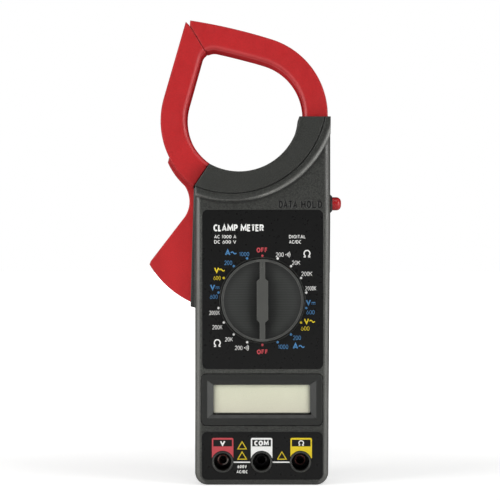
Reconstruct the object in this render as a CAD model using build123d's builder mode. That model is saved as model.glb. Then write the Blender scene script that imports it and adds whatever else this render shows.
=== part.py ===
from build123d import *
import os
from math import sin, cos, radians, degrees, hypot, atan2, sqrt

# Digital clamp meter, in millimetres.  +Z points up to the jaws, -Y is the front, +X the right.
# The origin is the centre of the bottom end, on the parting plane between the case halves.
# Front-view shapes are drawn as (x, z); f is the distance in FRONT of the parting plane,
# so f = -y.  "side" is 1 for a front half and -1 for a rear half.

os.makedirs("parts", exist_ok=True)

ADD, CUT = Mode.ADD, Mode.SUBTRACT

# ---------------------------------------------------------------- driving dimensions
# Boxes are (x0, x1, z0, z1).
LEFT, RIGHT_TOP, RIGHT_BOT = -33.2, 33.75, 32.75   # sides of the case
TAPER_Z = 130.0                                    # the right side leans in below this height
TOP = 182.1                                        # top end of the case
CORNER = 6.2                                       # bottom corner radius
F_FACE, F_COLLAR = 14.5, 17.0                      # front main face and raised collar
R_FACE, R_COLLAR = 18.0, 19.4                      # rear main face and rear collar
WALL = 2.2                                         # case wall
F_INNER, R_INNER = F_FACE - WALL, R_FACE - WALL    # inner faces of the case walls
BITE = 0.1                                         # how far a boss sinks into the wall
EDGE = 3.2                                         # rounding of the long case edges
OPEN_C, OPEN_R = (-11.3, 184.7), 29.7              # conductor opening in the collar
FOOT_C, FOOT_R = (-15.3, 192.5), 52.6              # foot of the raised collar
CREASE_C, CREASE_R = (-15.0, 190.9), 46.9          # step inside the collar

PIVOT = (-26.5, 140.3)                             # jaw pivot
PIN_R = 2.0
PIN_HOLE_R = PIN_R + 0.03                          # pin hole in the case
JAW_F = 11.5                                       # half thickness of the jaws
JAW_WALL = 1.8
JAW_EDGE = 2.6                                     # rounding of the jaws' inner edges
TRIG_F = 6.5                                       # half thickness of trigger, flange and hub
SLOT_F = 6.9                                       # half width of the slot they run in
TRIG_SCREW = (-42.0, 112.0)
CORE_W, CORE_F = 5.6, 5.5                          # core width and half thickness
CORE_GAP, COIL_GAP = 0.25, 0.15                    # clearance in windows and in coils
WINDOW_W, WINDOW_F = CORE_W + 2 * CORE_GAP, CORE_F + CORE_GAP
COIL_F = 7.4                                       # half thickness of the coils

# case end facing the moving jaw (two ends of its line, normal) and the split at the jaw tips
END_A, END_B = (-26.0, 158.85), (-33.2, 148.15)
END_N = (-0.830, 0.558)
END_ANGLE = -33.9                                  # direction of the cores through that end
TIP_P, TIP_U, TIP_N = (-36.5, 228.5), (0.5144, -0.8575), (0.8575, 0.5144)

KNOB_C, KNOB_R, KNOB_F = (0.1, 91.4), 20.3, 17.6   # selector knob: centre, radius, front
KNOB_BACK = 10.9
DISH_R, DISH_SAG, DISH_F = 19.2, 2.6, 13.9         # dish in the knob; DISH_F at its centre

JACK_Z, JACK_PITCH = 11.6, 19.2                    # input sockets
JACKS = [(-0.3 + i * JACK_PITCH, JACK_Z) for i in (-1, 0, 1)]
JACK_BORE, JACK_OUT, WELL_R, RIM_R = 2.0, 2.75, 4.4, 5.2

HOLD_Z, HOLD_F = 139.3, 4.6                        # hold button
HOLD = (-HOLD_F, HOLD_Z)                           # its centre as (y, z)
SCREWS = [(-26.2, 5.9), (25.8, 5.9), (-3.0, 139.0), (27.0, 152.0)]
PCB_SCREWS = [(-26.5, 62.0), (26.5, 62.0), (26.5, 122.0), (1.0, 128.0)]
PCB_F, PCB_T = 7.4, 1.6                            # rear face of the board, thickness
ON_PCB = PCB_F - 0.02                              # seat of the parts on its rear face
PCB_BOSS_F = 9.0                                   # rear ends of the board bosses

BEZEL = (-30.0, 29.8, 29.6, 55.0)                  # display bezel
WINDOW = (-24.0, 23.6, 35.4, 49.6)                 # display window
DIAL_LABEL = (-29.5, 30.0, 57.5, 136.0)
SOCKET_LABEL = (-29.7, 29.8, 3.0, 26.4)
REAR_PLATE = (-24.0, 24.0, 63.0, 118.0)
BED_DEPTH, LABEL_DEPTH, LABEL_T = 0.3, 0.28, 0.25  # label bed, label's back, label thickness
BED_GAP = 0.15                                     # gap round the two front labels

DOOR_X, DOOR_Z = 28.0, 52.0                        # battery door half width and top
TONGUE = 1.05                                      # door edge reaching under the case
BOX_OUT = (-29.2, 29.6, 19.6, 50.9)                # battery box, outside and inside
BOX_IN = (-27.9, 28.4, 21.0, 49.5)
BOX_F = 3.4                                        # front end of the battery box
BATTERY = (-27.0, 20.4, 22.0, 48.0)
BATTERY_F, BATTERY_T = 2.2, 17.3                   # front face and thickness
BATTERY_Y, BATTERY_Z = BATTERY_T / 2 - BATTERY_F, 35.0
TERMINAL_PITCH = 12.7


# ---------------------------------------------------------------- planes and shapes
def front(f):
    return Plane.XZ.offset(f)


def across(x):
    return Plane.YZ.offset(x)


def radial(centre):
    """Horizontal plane through the centre: local x is the radius, local y is Y."""
    return Plane(origin=(centre[0], 0, centre[1]), x_dir=(1, 0, 0), z_dir=(0, 0, 1))


def axis_at(centre):
    return Axis((centre[0], 0, centre[1]), (0, 1, 0))


def point_on(centre, radius, angle):
    return (centre[0] + radius * cos(radians(angle)), centre[1] + radius * sin(radians(angle)))


def rect(box, radius=0, grow=0, grow_z=None, mode=ADD):
    x0, x1, z0, z1 = box
    width = x1 - x0 + 2 * grow
    height = z1 - z0 + 2 * (grow if grow_z is None else grow_z)
    with Locations(((x0 + x1) / 2, (z0 + z1) / 2)):
        if radius > 0:
            RectangleRounded(width, height, radius, mode=mode)
        else:
            Rectangle(width, height, mode=mode)


def disc(radius, *centres, mode=ADD):
    with Locations(*centres):
        Circle(radius, mode=mode)


def bar(length, width, *centres, angle=0, mode=ADD):
    with Locations(*centres):
        Rectangle(length, width, rotation=angle, mode=mode)


def cross(length, width, *centres):
    bar(length, width, *centres)
    bar(width, length, *centres)


def polygon(*points):
    Polygon(*points, align=None)


def panel(box, radius, grow, hole_radius, *holes):
    """Rounded rectangle with round holes."""
    rect(box, radius, grow)
    disc(hole_radius, *holes, mode=CUT)


def cut_beyond(point, normal, shift):
    """Remove everything beyond the line through point, moved by shift along its normal."""
    size = 60
    reach = shift + size / 2
    centre = (point[0] + reach * normal[0], point[1] + reach * normal[1])
    bar(size, size, centre, angle=degrees(atan2(normal[1], normal[0])), mode=CUT)


def edges_at(position, axis=Axis.Y):
    return edges().filter_by_position(axis, position - 0.01, position + 0.01)


# ---------------------------------------------------------------- steps and pieces
# A step is (plane, depth, draw, mode, finish): draw() fills a sketch on the plane, the sketch
# is extruded by depth, and finish() then rounds or chamfers edges if it is given.
def pad(plane, depth, draw, finish=None):
    return plane, depth, draw, ADD, finish


def cut(plane, depth, draw):
    return plane, depth, draw, CUT, None


def keep(plane, depth, draw):
    return plane, depth, draw, Mode.INTERSECT, None


def save(piece, node):
    piece.part.label = node
    export_step(piece.part, "parts/" + node + ".step")


def build(node, *steps):
    with BuildPart() as piece:
        for plane, depth, draw, mode, finish in steps:
            with BuildSketch(plane):
                draw()
            extrude(amount=depth, mode=mode)
            if finish:
                finish()
    save(piece, node)


def build_screws(node, centres, seat, head, slot, shank):
    """Cross-head screws, heads to the rear of f = seat.

    head is (radius, height), slot is (length, width, depth), shank is (radius, length).
    """
    slot_length, slot_width, slot_depth = slot
    build(node,
          pad(front(seat), -head[1], lambda: disc(head[0], *centres)),
          cut(front(seat - head[1]), slot_depth,
              lambda: cross(slot_length, slot_width, *centres)),
          pad(front(seat), shank[1], lambda: disc(shank[0], *centres)))


# ---------------------------------------------------------------- case outlines
# body outline without the conductor opening
with BuildSketch() as block_sketch:
    with BuildLine():
        Line((LEFT, TOP), (LEFT, CORNER))
        RadiusArc((LEFT, CORNER), (LEFT + CORNER, 0), -CORNER)
        Line((LEFT + CORNER, 0), (RIGHT_BOT - CORNER, 0))
        RadiusArc((RIGHT_BOT - CORNER, 0), (RIGHT_BOT, CORNER), -CORNER)
        Polyline((RIGHT_BOT, CORNER), (RIGHT_TOP, TAPER_Z), (RIGHT_TOP, TOP), (LEFT, TOP))
    make_face()
block_profile = block_sketch.sketch

# body outline with the conductor opening and the slanted end towards the moving jaw
opening_top = (OPEN_C[0] + sqrt(OPEN_R ** 2 - (TOP - OPEN_C[1]) ** 2), TOP)
opening_low = (OPEN_C[0] + 3.0, OPEN_C[1] - sqrt(OPEN_R ** 2 - 3.0 ** 2))
with BuildSketch() as case_sketch:
    with BuildLine():
        Line(END_B, (LEFT, CORNER))
        RadiusArc((LEFT, CORNER), (LEFT + CORNER, 0), -CORNER)
        Line((LEFT + CORNER, 0), (RIGHT_BOT - CORNER, 0))
        RadiusArc((RIGHT_BOT - CORNER, 0), (RIGHT_BOT, CORNER), -CORNER)
        Polyline((RIGHT_BOT, CORNER), (RIGHT_TOP, TAPER_Z), (RIGHT_TOP, TOP), opening_top)
        ThreePointArc(opening_top, opening_low, END_A)
        Line(END_A, END_B)
    make_face()
case_profile = case_sketch.sketch


def inset(profile, wall):
    with BuildSketch() as inner:
        add(profile)
        offset(amount=-wall, mode=Mode.REPLACE)
    return inner.sketch


case_inside = inset(case_profile, WALL)


def round_block_rim(y):
    """Round the block's outer edges at this y, all but the one along its top end."""
    fillet([e for e in edges_at(y) if e.center().Z < TOP - 0.5], EDGE)


# ---------------------------------------------------------------- engraved wording
# letter -> strokes (x0, z0, x1, z1) in a 1 x 1 cell
LETTERS = {
    "D": [(0, 0, 0, 1), (0, 1, .62, 1), (.62, 1, 1, .72), (1, .72, 1, .28), (1, .28, .62, 0),
          (.62, 0, 0, 0)],
    "A": [(0, 0, .5, 1), (.5, 1, 1, 0), (.2, .36, .8, .36)],
    "T": [(0, 1, 1, 1), (.5, 1, .5, 0)],
    "H": [(0, 0, 0, 1), (1, 0, 1, 1), (0, .5, 1, .5)],
    "O": [(.25, 0, 0, .25), (0, .25, 0, .75), (0, .75, .25, 1), (.25, 1, .75, 1),
          (.75, 1, 1, .75), (1, .75, 1, .25), (1, .25, .75, 0), (.75, 0, .25, 0)],
    "L": [(0, 1, 0, 0), (0, 0, 1, 0)],
}
TEXT_Z, TEXT_H, STROKE = 137.2, 3.1, 0.42          # base line, letter height, stroke width


def engrave(word, left, pitch, width):
    for i, letter in enumerate(word):
        for x0, z0, x1, z1 in LETTERS[letter]:
            run, rise = (x1 - x0) * width, (z1 - z0) * TEXT_H
            centre = (left + i * pitch + (x0 + x1) / 2 * width, TEXT_Z + (z0 + z1) / 2 * TEXT_H)
            bar(hypot(run, rise) + STROKE, STROKE, centre, angle=degrees(atan2(rise, run)))


def wording():
    engrave("DATA", left=8.5, pitch=2.35, width=1.45)
    engrave("HOLD", left=19.5, pitch=2.75, width=1.6)


# ---------------------------------------------------------------- case halves
# rail along the trigger slot, (x, z)
RAIL = [(-30.9, 147.6), (-33.85, 147.1), (-35.5, 91.0), (-35.5, 88.2), (-33.2, 87.6),
        (-30.9, 87.6)]


def trigger_slot():
    rect((-37.0, -29.0, 88.4, 147.2))
    disc(8.0, PIVOT)


def common_steps(side, face):
    return [
        # hollow inside
        cut(front(0), side * (face - WALL), lambda: add(case_inside)),
        # rail, then the trigger slot with the pocket for the hub
        pad(front(side * SLOT_F), side * 4.1, lambda: polygon(*RAIL)),
        cut(front(0), side * SLOT_F, trigger_slot),
        # socket for the fixed jaw
        cut(front(0), side * (JAW_F + 0.2), lambda: rect((20.25, 32.75, 165.0, TOP + 1))),
        # window for the core at the slanted end
        cut(front(0), side * WINDOW_F,
            lambda: bar(6.0, WINDOW_W, (-28.0, 153.7), angle=END_ANGLE)),
    ]


def front_steps():
    bed = front(F_FACE - BED_DEPTH)
    return [
        # bosses for case screws, pivot pin and board; rims and wells of the sockets
        pad(front(0), F_INNER + BITE, lambda: disc(3.2, *SCREWS)),
        pad(front(SLOT_F), F_INNER - SLOT_F + BITE, lambda: disc(4.2, PIVOT)),
        pad(front(PCB_BOSS_F), F_INNER - PCB_BOSS_F + BITE, lambda: disc(2.4, *PCB_SCREWS)),
        pad(front(0), F_FACE + 0.35, lambda: disc(RIM_R, *JACKS)),
        cut(front(0), F_FACE + 3, lambda: disc(WELL_R, *JACKS)),
        # pilot holes and pin hole
        cut(front(0), 10.0, lambda: disc(1.52, *SCREWS)),
        cut(front(6.0), 5.2, lambda: disc(PIN_HOLE_R, PIVOT)),
        cut(front(PCB_BOSS_F), 3.6, lambda: disc(1.02, *PCB_SCREWS)),
        # openings for the knob, the bezel and the display behind it
        cut(front(12.0), 5, lambda: disc(KNOB_R + 0.5, KNOB_C)),
        cut(front(12.9), 5, lambda: rect(BEZEL, 2.7, 0.28)),
        cut(front(12.0), 2, lambda: rect(BEZEL, 1.0, -2.2, -2.0)),
        # shallow beds for the two labels; the lower cut leaves the socket rims standing
        cut(bed, 3, lambda: panel(DIAL_LABEL, 2.6, BED_GAP, KNOB_R + 0.9, KNOB_C)),
        cut(bed, 0.6, lambda: panel(SOCKET_LABEL, 2.6, BED_GAP, RIM_R, *JACKS)),
        cut(front(F_FACE - 0.35), 2, wording),
        # hold button hole in the right side
        cut(across(20.0), 20, lambda: disc(4.0, HOLD)),
    ]


def box_walls():
    rect(BOX_OUT)
    rect(BOX_IN, mode=CUT)


def rear_steps():
    boss = -(R_INNER + BITE)
    pivot_boss_f = -10.6
    track = front(-16.3)
    # the door's track runs out through the bottom end
    door = (-DOOR_X, DOOR_X, -1.0, DOOR_Z + 0.2)
    return [
        # floor behind the battery door
        pad(front(-14.9), -1.2, lambda: rect((-31.5, 31.5, 1.5, 55.0))),
        # battery box: front plate, walls, notch in the right wall
        pad(front(BOX_F), -1.0, lambda: rect(BOX_OUT)),
        pad(front(BOX_F), -18.6, box_walls),
        cut(front(3.5), -6.0, lambda: rect((28.0, 30.0, 33.0, 38.0))),
        # bosses, then screw holes with head wells and the pin hole
        pad(front(0), boss, lambda: disc(4.0, *SCREWS)),
        pad(front(pivot_boss_f), boss - pivot_boss_f, lambda: disc(4.2, PIVOT)),
        cut(front(0), -22, lambda: disc(1.7, *SCREWS)),
        cut(front(-9.0), -13, lambda: disc(3.1, *SCREWS)),
        cut(front(-10.0), -4.1, lambda: disc(PIN_HOLE_R, PIVOT)),
        # battery opening and the track of its door
        cut(front(-14.0), -6, lambda: rect(BOX_IN)),
        cut(track, -4, lambda: rect(door, grow=0.15, grow_z=0)),
        cut(track, -0.8, lambda: rect(door, grow=TONGUE + 0.2, grow_z=0)),
        # bed of the rear plate
        cut(front(-(R_FACE - BED_DEPTH)), -3, lambda: rect(REAR_PLATE, 2.2, 0.2)),
    ]


def case_half(node, side, face, collar):
    rise = collar - face
    flat_r = FOOT_R - rise                         # radius where the collar's round edge starts
    with BuildPart() as shell:
        with BuildSketch(front(0)):
            add(block_profile)
        extrude(amount=side * face)
        round_block_rim(-side * face)
        # raised collar: a round-edged disc, then cut to the case outline
        with BuildSketch(radial(FOOT_C)):
            with BuildLine():
                Polyline((flat_r, -side * collar), (0, -side * collar), (0, 0), (FOOT_R, 0),
                         (FOOT_R, -side * face))
                ThreePointArc((FOOT_R, -side * face),
                              (flat_r + rise * cos(radians(45)),
                               -side * (face + rise * sin(radians(45)))),
                              (flat_r, -side * collar))
            make_face()
        revolve(axis=axis_at(FOOT_C))
        with BuildSketch(front(0)):
            add(case_profile)
        extrude(amount=side * (collar + 5), mode=Mode.INTERSECT)
        # soften the rim the outline leaves on the collar
        fillet([e for e in edges_at(-side * collar)
                if hypot(e.center().X - FOOT_C[0], e.center().Z - FOOT_C[1]) < flat_r - 0.5], 1.0)
        for plane, depth, draw, mode, _ in common_steps(side, face):
            with BuildSketch(plane):
                draw()
            extrude(amount=depth, mode=mode)
        if side > 0:
            # ring band, a little lower than the collar's rim, with a fine groove between them
            with BuildSketch(front(collar - 0.35)):
                disc(CREASE_R, CREASE_C)
            extrude(amount=4, mode=CUT)
            with BuildSketch(radial(CREASE_C)):
                polygon((CREASE_R - 0.45, -collar - 1), (CREASE_R - 0.45, -collar + 0.35),
                        (CREASE_R - 0.1, -collar + 1.0), (CREASE_R + 0.1, -collar + 1.0),
                        (CREASE_R + 0.3, -collar), (CREASE_R + 0.3, -collar - 1))
            revolve(axis=axis_at(CREASE_C), mode=CUT)
        for plane, depth, draw, mode, _ in front_steps() if side > 0 else rear_steps():
            with BuildSketch(plane):
                draw()
            extrude(amount=depth, mode=mode)
    save(shell, node)


case_half("front_case", 1, F_FACE, F_COLLAR)
case_half("rear_case", -1, R_FACE, R_COLLAR)


# ---------------------------------------------------------------- battery door
DOOR_F = -16.5                                     # front face of the door


def door_grooves():
    with GridLocations(0, 2.4, 1, 6):
        bar(26.0, 1.1, (0, 15.0))


build("battery_door",
      # the rear of the case block, trimmed to the door
      pad(front(0), -R_FACE, lambda: add(block_profile), finish=lambda: round_block_rim(R_FACE)),
      keep(front(DOOR_F), -5, lambda: rect((-DOOR_X, DOOR_X, -1.0, DOOR_Z))),
      # tongues along both sides
      pad(front(DOOR_F), -0.45, lambda: rect((-DOOR_X - TONGUE, DOOR_X + TONGUE, 5.0, DOOR_Z))),
      # grooves and an arrow in the rear face
      cut(front(-(R_FACE - 0.5)), -2, door_grooves),
      cut(front(-(R_FACE - 0.4)), -2, lambda: polygon((-4.0, 31.5), (4.0, 31.5), (0, 26.5))))

build("battery_pad",
      pad(front(-15.3), -1.15, lambda: rect((-16.0, 16.0, 26.0, 45.0), 1.0)))

# ---------------------------------------------------------------- jaw outlines
# arcs as (centre, radius)
FIXED_OUTER = ((-6.96, 182.86), 39.5)
FIXED_INNER = ((-6.94, 183.1), 27.4)
MOVING_OUTER = ((-10.72, 180.3), 39.7)
MOVING_INNER = ((-10.52, 181.2), 27.03)
SPLIT_GAP = 0.12                                   # from the split line to each jaw tip


def tip_point(off, along):
    return (TIP_P[0] + off * TIP_N[0] + along * TIP_U[0],
            TIP_P[1] + off * TIP_N[1] + along * TIP_U[1])


# fixed jaw: a leg down into the case, the arc, and the tip at the split
leg_z = 168.0
outer_x = FIXED_OUTER[0][0] + FIXED_OUTER[1]
inner_x = FIXED_INNER[0][0] + FIXED_INNER[1]
inner_start = (inner_x, FIXED_INNER[0][1])
outer_start = (outer_x, FIXED_OUTER[0][1])
outer_end = point_on(*FIXED_OUTER, 72.2)
with BuildSketch() as fixed_sketch:
    with BuildLine():
        Polyline(inner_start, (inner_x, leg_z), (outer_x, leg_z), outer_start)
        ThreePointArc(outer_start, point_on(*FIXED_OUTER, 36), outer_end)
        ThreePointArc(outer_end, (-9.25, 224.57), (-23.03, 227.73))
        ThreePointArc((-23.03, 227.73), (-29.0, 228.86), (-35.65, 229.95))
        Polyline((-35.65, 229.95), tip_point(SPLIT_GAP, 1.0), tip_point(SPLIT_GAP, 15.7),
                 (-26.75, 214.95))
        ThreePointArc((-26.75, 214.95), (-24.75, 215.5), (-22.55, 215.38))
        ThreePointArc((-22.55, 215.38), (-14.85, 213.58), (-7.1, 211.6))
        ThreePointArc((-7.1, 211.6), (-2.86, 210.45), (1.33, 209.2))
        ThreePointArc((1.33, 209.2), point_on(*FIXED_INNER, 36), inner_start)
    make_face()
fixed_profile = fixed_sketch.sketch
fixed_inside = inset(fixed_profile, JAW_WALL)

# moving jaw: the end facing the case, then round the outside to the tip and back inside
foot_inner, foot_outer = (-26.25, 159.3), (-34.05, 147.7)
outer_bend, inner_bend = (-48.75, 191.6), (-36.6, 188.4)
with BuildSketch() as moving_sketch:
    with BuildLine():
        Polyline(foot_inner, foot_outer)
        ThreePointArc(foot_outer, point_on(*MOVING_OUTER, 195), outer_bend)
        Line(outer_bend, (-37.85, 229.3))
        Polyline((-37.85, 229.3), tip_point(-SPLIT_GAP, 1.0), tip_point(-SPLIT_GAP, 15.5),
                 (-27.95, 214.6))
        ThreePointArc((-27.95, 214.6), (-29.45, 213.1), (-30.2, 211.2))
        Line((-30.2, 211.2), inner_bend)
        ThreePointArc(inner_bend, point_on(*MOVING_INNER, 197), foot_inner)
    make_face()
moving_profile = moving_sketch.sketch
moving_inside = inset(moving_profile, JAW_WALL)

# flange, finger scoop, trigger blade and the hub round the pivot
FLANGE = ((-6.8, 182.3), 46.48)
SCOOP = ((-49.78, 140.44), 13.58)
flange_start = (-46.98, 159.8)
scoop_start, scoop_end = (-38.6, 148.2), (-39.66, 131.3)
with BuildSketch() as trigger_sketch:
    with BuildLine():
        Polyline((-44.2, 163.8), (-46.4, 162.0), flange_start)
        ThreePointArc(flange_start, point_on(*FLANGE, 216.5), scoop_start)
        ThreePointArc(scoop_start, point_on(*SCOOP, 0), scoop_end)
        Polyline(scoop_end, (-55.45, 110.75), (-56.1, 109.05))
        ThreePointArc((-56.1, 109.05), (-48.3, 99.15), (-35.6, 90.35))
        Polyline((-35.6, 90.35), (-31.3, 89.4), (-29.4, 100.0), (-27.0, 134.0), (-24.0, 134.0),
                 (-24.0, 140.3), (-29.6, 146.85), (-34.25, 146.85), foot_outer,
                 (-33.2, 149.0), (-38.0, 156.0), (-44.2, 163.8))
    make_face()
    disc(7.6, PIVOT)
trigger_profile = trigger_sketch.sketch

# ---------------------------------------------------------------- jaw halves
# hollow of the trigger blade, (x, z)
BLADE_HOLLOW = [(-38.4, 126.5), (-51.6, 110.0), (-48.0, 103.5), (-42.5, 97.2), (-36.3, 92.6),
                (-33.2, 92.0), (-31.4, 101.0), (-30.5, 126.5)]


def near(value, target, tolerance):
    return abs(value - target) < tolerance


def on_moving_inner(point):
    (x, z), radius = MOVING_INNER
    return near(hypot(point.X - x, point.Z - z), radius, 0.1)


def moving_inner_edges(face_edges):
    """The inner arc, the straight above it and the small arc below the tip."""
    on_arc = [e for e in face_edges if on_moving_inner(e.start_point())
              and on_moving_inner(e.end_point()) and e.length > 15]
    return on_arc + [
        e for e in face_edges
        if (e.length > 15 and near(e.center().X, -33.4, 0.5) and 195 < e.center().Z < 204)
        or (near(e.center().X, -29.2, 0.7) and 211 < e.center().Z < 214.6 and e.length < 6)]


def fixed_inner_edges(face_edges):
    """The inner arc, the three short arcs from it to the tip and the inside of the leg."""
    return [
        e for e in face_edges
        if (e.length > 30 and e.center().X < 20.5 and e.center().Z < 208)
        or (near(e.center().X, -14.8, 0.8) and e.length > 14 and e.center().Z < 216)
        or (near(e.center().X, -2.9, 0.8) and e.length < 9.5 and e.center().Z < 214)
        or (near(e.center().X, -24.6, 0.6) and e.length < 5 and e.center().Z < 217)
        or near(e.center().X, inner_x, 0.1)]


def jaw_blank(side, profile, choose_edges):
    return pad(front(0), side * JAW_F, lambda: add(profile),
               finish=lambda: fillet(choose_edges(edges_at(-side * JAW_F)), JAW_EDGE))


def blade_hollow():
    polygon(*BLADE_HOLLOW)
    disc(3.0, TRIG_SCREW, mode=CUT)                # leaves a post for the screw


def moving_windows():
    bar(8.2, WINDOW_W, (-32.9, 219.93), angle=66.7)
    bar(6.0, WINDOW_W, (-31.0, 155.7), angle=END_ANGLE)


def fixed_windows():
    bar(10.0, WINDOW_W, (-30.7, 222.15), angle=-6.6)
    rect((22.7, 30.0, 166.0, 171.0))


SCREW_HOLES = {
    1: [cut(front(0), 4.7, lambda: disc(1.02, TRIG_SCREW))],
    -1: [cut(front(0), -12, lambda: disc(1.25, TRIG_SCREW)),
         cut(front(-4.6), -12, lambda: disc(2.3, TRIG_SCREW))],
}


def moving_jaw(node, side):
    build(node,
          jaw_blank(side, moving_profile, moving_inner_edges),
          pad(front(0), side * TRIG_F, lambda: add(trigger_profile)),
          cut(front(0), side * (JAW_F - JAW_WALL), lambda: add(moving_inside)),
          cut(front(0), side * (TRIG_F - 1.8), blade_hollow),
          cut(front(0), side * 12, lambda: disc(PIN_R + 0.06, PIVOT)),
          cut(front(0), side * WINDOW_F, moving_windows),
          *SCREW_HOLES[side])


def fixed_jaw(node, side):
    build(node,
          jaw_blank(side, fixed_profile, fixed_inner_edges),
          cut(front(0), side * (JAW_F - JAW_WALL), lambda: add(fixed_inside)),
          cut(front(0), side * WINDOW_F, fixed_windows))


for side, end in ((1, "front"), (-1, "rear")):
    moving_jaw("moving_jaw_" + end, side)
    fixed_jaw("fixed_jaw_" + end, side)

build_screws("trigger_screw", [TRIG_SCREW], seat=-4.62, head=(2.1, 1.6),
             slot=(2.4, 0.55, 0.9), shank=(1.0, 8.6))

# ---------------------------------------------------------------- laminated cores and coils
CORE_ARC = ((-6.95, 183.0), 33.45)                 # centre line of the fixed core's arc

with BuildPart() as fixed_core:
    with BuildSketch(front(-CORE_F)):
        with BuildLine():
            Polyline((-38.0, 223.0), (-22.5, 221.2), (3.1, 214.75))
            ThreePointArc((3.1, 214.75), point_on(*CORE_ARC, 38), (26.5, 183.0))
            Line((26.5, 183.0), (26.5, 171.0))
            ThreePointArc((26.5, 171.0), (22.9, 161.6), (13.0, 154.9))
            ThreePointArc((13.0, 154.9), (-6.0, 148.6), (-23.61, 150.74))
            Line((-23.61, 150.74), (-31.0, 155.71))
        trace(line_width=CORE_W)
        cut_beyond(TIP_P, (-TIP_N[0], -TIP_N[1]), -0.06)
        cut_beyond(END_A, END_N, 0.16)
    extrude(amount=2 * CORE_F)
save(fixed_core, "fixed_core")

with BuildPart() as moving_core:
    with BuildSketch(front(-CORE_F)):
        with BuildLine():
            Polyline((-29.9, 226.9), (-36.75, 211.0), (-42.4, 190.4))
            ThreePointArc((-42.4, 190.4), (-41.6, 168.9), (-33.6, 157.4))
            Line((-33.6, 157.4), (-27.6, 153.37))
        trace(line_width=CORE_W)
        cut_beyond(TIP_P, TIP_N, -0.06)
        cut_beyond(END_A, (-END_N[0], -END_N[1]), -0.28)
    extrude(amount=2 * CORE_F)
save(moving_core, "moving_core")


def coil(node, curve, winding, winding_width, bore, bore_width):
    """A winding along a curve; the bore follows the same curve, a little longer."""
    with BuildPart() as piece:
        with BuildSketch(front(-COIL_F)):
            with BuildLine():
                curve(*winding)
            trace(line_width=winding_width)
        extrude(amount=2 * COIL_F)
        with BuildSketch(front(-CORE_F - COIL_GAP)):
            with BuildLine():
                curve(*bore)
            trace(line_width=bore_width)
        extrude(amount=2 * (CORE_F + COIL_GAP), mode=CUT)
    save(piece, node)


coil("fixed_coil", ThreePointArc,
     winding=[point_on(*CORE_ARC, angle) for angle in (64, 40, 14)], winding_width=7.9,
     bore=[point_on(*CORE_ARC, angle) for angle in (68, 40, 10)],
     bore_width=CORE_W + 2 * COIL_GAP)
coil("moving_coil", Line,
     winding=[(-38.4, 205.0), (-42.0, 191.9)], winding_width=8.4,
     bore=[(-37.85, 207.0), (-42.55, 189.9)], bore_width=CORE_W + 0.5)

# ---------------------------------------------------------------- pivot
build("pivot_pin",
      pad(front(-14.0), 25.0, lambda: disc(PIN_R, PIVOT),
          finish=lambda: chamfer(edges().filter_by(GeomType.CIRCLE), 0.3)))


def ring(outer_radius, inner_radius, centre):
    disc(outer_radius, centre)
    disc(inner_radius, centre, mode=CUT)


build("return_spring", pad(front(-6.95), -3.3, lambda: ring(3.7, 2.5, PIVOT)))

# ---------------------------------------------------------------- selector knob
# taper-ended grip, (x, z) from the knob's centre
GRIP = [(-1.3, 10.6), (1.3, 10.6), (2.75, 9.4), (2.75, -9.6), (1.3, -10.9), (-1.3, -10.9),
        (-2.75, -9.6), (-2.75, 9.4)]
ball_r = (DISH_R ** 2 + DISH_SAG ** 2) / (2 * DISH_SAG)
mid_sag = ball_r - sqrt(ball_r ** 2 - (DISH_R / 2) ** 2)

with BuildPart() as selector_knob:
    # flange behind the case wall, then the knob
    with BuildSketch(front(KNOB_BACK)):
        disc(22.4, KNOB_C)
    extrude(amount=1.15)
    with BuildSketch(front(KNOB_BACK)):
        disc(KNOB_R, KNOB_C)
    extrude(amount=KNOB_F - KNOB_BACK)
    chamfer(edges_at(-KNOB_F), 0.25)
    # dish, highest at its centre, leaving the rim
    with BuildSketch(radial(KNOB_C)):
        with BuildLine():
            Polyline((0, -DISH_F), (0, -20), (DISH_R, -20), (DISH_R, -DISH_F - DISH_SAG))
            ThreePointArc((DISH_R, -DISH_F - DISH_SAG), (DISH_R / 2, -DISH_F - mid_sag),
                          (0, -DISH_F))
        make_face()
    revolve(axis=axis_at(KNOB_C), mode=CUT)
    # grip bar across the dish
    with BuildSketch(front(13.0)):
        with Locations(KNOB_C):
            Rectangle(2.6, 2 * DISH_R + 0.6)
            polygon(*GRIP)
    extrude(amount=4.45)
    # pointer groove at the top of the rim
    with BuildSketch(front(17.2)):
        bar(0.7, 3.0, (KNOB_C[0], KNOB_C[1] + 17.6))
    extrude(amount=2, mode=CUT)
save(selector_knob, "selector_knob")


def wipers(length):
    with Locations(KNOB_C):
        with PolarLocations(13.0, 3, start_angle=30):
            Rectangle(2.2, length)


build("switch_wipers",
      pad(front(9.15), 0.4, lambda: wipers(9.0)),
      pad(front(9.55), 1.34, lambda: wipers(2.0)))

# ---------------------------------------------------------------- labels, display
label_back = front(F_FACE - LABEL_DEPTH)
build("dial_label",
      pad(label_back, LABEL_T, lambda: panel(DIAL_LABEL, 2.5, 0, KNOB_R + 1.1, KNOB_C)))
build("socket_label",
      pad(label_back, LABEL_T, lambda: panel(SOCKET_LABEL, 2.5, 0, RIM_R + 0.08, *JACKS)))
build("rear_plate",
      pad(front(-(R_FACE - LABEL_DEPTH)), -LABEL_T, lambda: rect(REAR_PLATE, 2.0)))

BEZEL_BACK, BEZEL_T = 12.95, 1.6
with BuildPart() as display_bezel:
    with BuildSketch(front(BEZEL_BACK)):
        rect(BEZEL, 2.5)
    extrude(amount=BEZEL_T)
    chamfer(edges_at(-BEZEL_BACK - BEZEL_T), 0.2)
    with BuildSketch(front(12.9)):
        rect(WINDOW, 0.8)
    extrude(amount=5, mode=CUT)
    # slopes round the window, widening to the front
    with BuildSketch(front(13.1)):
        rect(WINDOW, grow=-0.05)
    with BuildSketch(front(14.7)):
        rect(WINDOW, grow=3.5, grow_z=2.6)
    loft(mode=CUT)
save(display_bezel, "display_bezel")


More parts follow.
